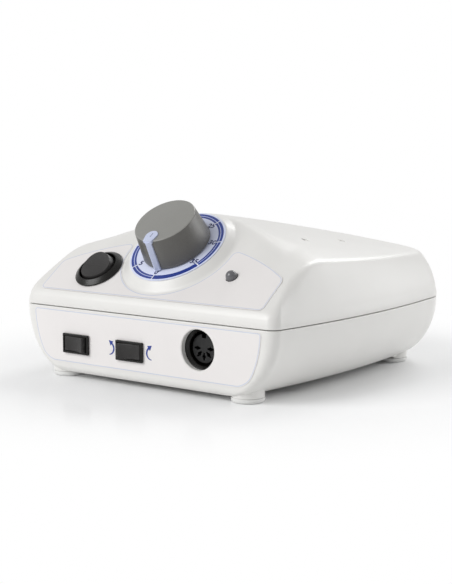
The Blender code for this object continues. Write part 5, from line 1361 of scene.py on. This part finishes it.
# Rear sockets
def mains_inlet():
    """A three-pin appliance inlet in a flange, with a cavity whose lower corners are cut off."""
    flange = (0.0307, 0.0226)
    flange_thick = 0.0022
    body = (0.0268, 0.0194)
    inlet_cavity = (0.0242, 0.0162)
    chamfer = 0.0045
    corner = 0.0015
    edge = 0.0005
    cavity_depth = 0.0155
    back = 0.002
    pin_tip = 0.0008
    pin_slot = (0.0022, 0.0042)
    place = on_rear("mains_inlet", -FILM_GAP)
    inlet = bar("inlet_case", *flange, flange_thick, place, "black_plastic", corner, edge)
    front = FILM_GAP + flange_thick / 2.0
    cavity_floor = FILM_GAP + flange_thick - cavity_depth
    length = front - cavity_floor + back
    place = on_rear("mains_inlet", length - front)
    join(inlet, bar("inlet_trunk", *body, length, place, "black_plastic", corner))
    half_x = inlet_cavity[0] / 2.0
    half_z = inlet_cavity[1] / 2.0
    cavity = (
        (half_x, half_z), (-half_x, half_z), (-half_x, chamfer - half_z),
        (chamfer - half_x, -half_z), (half_x - chamfer, -half_z), (half_x, chamfer - half_z),
    )
    cavity = rounded_loop(cavity, (SINK,) * len(cavity), 5)
    place = on_rear("mains_inlet", -cavity_floor)
    cutters = [prism("inlet_cavity", cavity, cavity_depth + OVERRUN, place)]
    length = back + pin_tip + OVERRUN
    for name in ("line", "neutral", "earth"):
        place = on_rear("mains_pin_" + name, length - cavity_floor)
        cutters.append(bar("pin_slot", *pin_slot, length + OVERRUN, place))
    cut(inlet, *cutters)
    piece(smooth(inlet), "root", "black_plastic", "mains_inlet")


def fuse_holder():
    flange_radius = 0.0078
    flange_thick = 0.0014
    body_radius = 0.0062
    body_length = 0.03
    bore = 0.0049
    edge = 0.0004
    cap_radius = 0.0058
    cap_rise = 0.0032
    cap_stem = 0.0044
    cap_stem_length = 0.006
    cap_slot = 0.0014
    cap_slot_depth = 0.0012
    cap_flutes = 24
    cap_flute = 0.0003
    flute_steps = 6
    place = on_rear("fuse_holder")
    face = FILM_GAP + flange_thick
    base = FILM_GAP - body_length
    corners = (
        (0.0, base + WALL), (bore, base + WALL), (bore, face), (flange_radius, face),
        (flange_radius, FILM_GAP), (body_radius, FILM_GAP), (body_radius, base), (0.0, base),
    )
    radii = (0.0, FILM_GAP, edge, FILM_GAP, 0.0, edge)
    holder = turned("fuse_holder_case", rounded(corners, radii, 4), place, "black_plastic")
    piece(holder, "root", "black_plastic", "fuse_holder")
    cap_low = face + GAP
    cap_high = flange_thick + cap_rise
    radii = []
    for step in range(flute_steps):
        wave = 0.5 + 0.5 * math.cos(math.radians(360.0) * step / flute_steps)
        radii.append(cap_radius - cap_flute * wave)
    points = round_outline(radii * cap_flutes)
    cap_place = place @ at(0.0, 0.0, cap_low)
    cap = prism("fuse_cap_head", points, cap_high - cap_low, cap_place, "black_plastic", edge)
    stem_place = place @ at(0.0, 0.0, cap_low - cap_stem_length)
    join(cap, rod("cap_stem", cap_stem, cap_stem_length + SINK, stem_place))
    slot_place = place @ at(0.0, 0.0, cap_high - cap_slot_depth)
    cut(cap, bar("cap_slot", 3.0 * cap_radius, cap_slot, OVERRUN, slot_place))
    piece(smooth(cap), "fuse_cap", "black_plastic", "fuse_cap")


def jack_nut():
    radius = 0.0042
    thick = 0.0019
    bore = 0.0032
    edge = 0.00015
    teeth = 30
    tooth = 0.00022
    place = on_rear("pedal_jack_nut", -FILM_GAP)
    root = radius - tooth
    points = round_outline([radius, radius, root, root] * teeth)
    nut = prism("jack_ring_nut", points, thick, place, "steel", edge, edge_steps=2)
    bore_place = place @ at(0.0, 0.0, -OVERRUN)
    cut(nut, rod("nut_bore", bore, thick + 2.0 * OVERRUN, bore_place))
    piece(smooth(nut), "root", "steel", "pedal_jack_nut")


upper_cover()
lower_housing()
front_label()
control_label()
turn_arrow("arrow_left", -1.0)
turn_arrow("arrow_right", 1.0)
dial_plate()
dial_print()
speed_knob()
knob_pointer()
power_switch_body()
power_rocker()
front_switches()
motor_socket()
power_light()
feet()
mains_inlet()
fuse_holder()
jack_nut()


# Camera
CAMERA_PLACE = (0.37315, -0.50551, 0.11762)
CAMERA_AZIMUTH = math.radians(37.243)
CAMERA_ELEVATION = math.radians(7.541)
CAMERA_ROLL = math.radians(-0.124)
CAMERA_LENS = 83.16
lens = bpy.data.cameras.new("camera")
lens.lens = CAMERA_LENS
lens.sensor_width = 36.0
lens.clip_start = 0.01
camera = bpy.data.objects.new("camera", lens)
SCENE.collection.objects.link(camera)
aim = Matrix.Rotation(CAMERA_AZIMUTH, 4, "Z")
aim = aim @ Matrix.Rotation(QUARTER - CAMERA_ELEVATION, 4, "X")
camera.matrix_world = at(*CAMERA_PLACE) @ aim @ Matrix.Rotation(CAMERA_ROLL, 4, "Z")
SCENE.camera = camera


# Floor and backdrop
def background_rays(tree):
    """The rays that show the background: those from the camera, and those in gloss and glass."""
    ray = tree.nodes.new("ShaderNodeLightPath").outputs
    mirrored = {0: ray["Is Glossy Ray"], 1: ray["Is Transmission Ray"]}
    return ray["Is Camera Ray"], node(tree, "Math", mirrored, operation="MAXIMUM")


def bench_top():
    """A pale, faintly glossy bench top that fades into a white backdrop."""
    half = 3.0
    colour = (0.94, 0.945, 0.95, 1.0)
    floor_shine = 0.13
    shine_roughness = 0.12
    fade = (0.06, 0.19)
    far_colour = (0.35, 0.35, 0.35, 1.0)
    far = (0.22, 0.5)
    bm = bmesh.new()
    bmesh.ops.create_grid(bm, x_segments=40, y_segments=40, size=half)
    obj = mesh_object("floor", bm)
    made = bpy.data.materials.new("floor")
    made.use_nodes = True
    tree = made.node_tree
    tree.nodes.remove(tree.nodes["Principled BSDF"])
    where = node(tree, "TexCoord", {}, "Object")
    length = node(tree, "VectorMath", {0: where}, "Value", operation="LENGTH")
    rises = []
    for low, high in (fade, far):
        reach = {"Value": length, "From Min": low, "From Max": high}
        rises.append(node(tree, "MapRange", reach, interpolation_type="SMOOTHSTEP"))
    colours = {"Factor": rises[1], "A": colour, "B": far_colour}
    paint = node(tree, "Mix", colours, "Result", data_type="RGBA")
    matt = node(tree, "BsdfDiffuse", {"Color": paint})
    shine = node(tree, "BsdfGlossy", {"Roughness": shine_roughness})
    surface = node(tree, "MixShader", {"Fac": floor_shine, 1: matt, 2: shine})
    rays = node(tree, "Math", dict(enumerate(background_rays(tree))), operation="MAXIMUM")
    seen = node(tree, "Math", {0: rises[0], 1: rays}, operation="MULTIPLY")
    white = node(tree, "Emission", {"Strength": 1.0})
    blend = node(tree, "MixShader", {"Fac": seen, 1: surface, 2: white})
    feed(tree, tree.nodes["Material Output"], {"Surface": blend})
    obj.data.materials.append(made)


bench_top()


# Light
def softbox(name, place, target, width, height, power):
    lamp = bpy.data.lights.new(name, "AREA")
    lamp.shape = "RECTANGLE"
    lamp.size = width
    lamp.size_y = height
    lamp.energy = power
    obj = bpy.data.objects.new(name, lamp)
    SCENE.collection.objects.link(obj)
    away = Vector(place) - Vector(target)
    obj.matrix_world = at(*place) @ away.to_track_quat("Z", "Y").to_matrix().to_4x4()


AIM = (0.0, 0.0, 0.04)
WORLD_FILL = 0.4
WORLD_REFLECTED = 0.65
softbox("left_box", (-0.6, -1.22, 0.89), AIM, 0.9, 0.9, 15.3)
softbox("right_box", (0.92, 1.12, 0.57), AIM, 1.2, 1.1, 9.5)
softbox("rear_box", (-0.1, 1.05, 0.95), AIM, 0.6, 0.6, 6.4)
world = bpy.data.worlds.new("world")
world.use_nodes = True
SCENE.world = world
sky = world.node_tree
camera_ray, mirrored_ray = background_rays(sky)
seen = node(sky, "MapRange", {"Value": camera_ray, "To Min": WORLD_FILL})
mirrored = node(sky, "MapRange", {"Value": mirrored_ray, "To Max": WORLD_REFLECTED})
strength = node(sky, "Math", {0: seen, 1: mirrored}, operation="MAXIMUM")
feed(sky, sky.nodes["Background"], {"Color": (1.0, 1.0, 1.0, 1.0), "Strength": strength})

SCENE.view_settings.view_transform = "Standard"
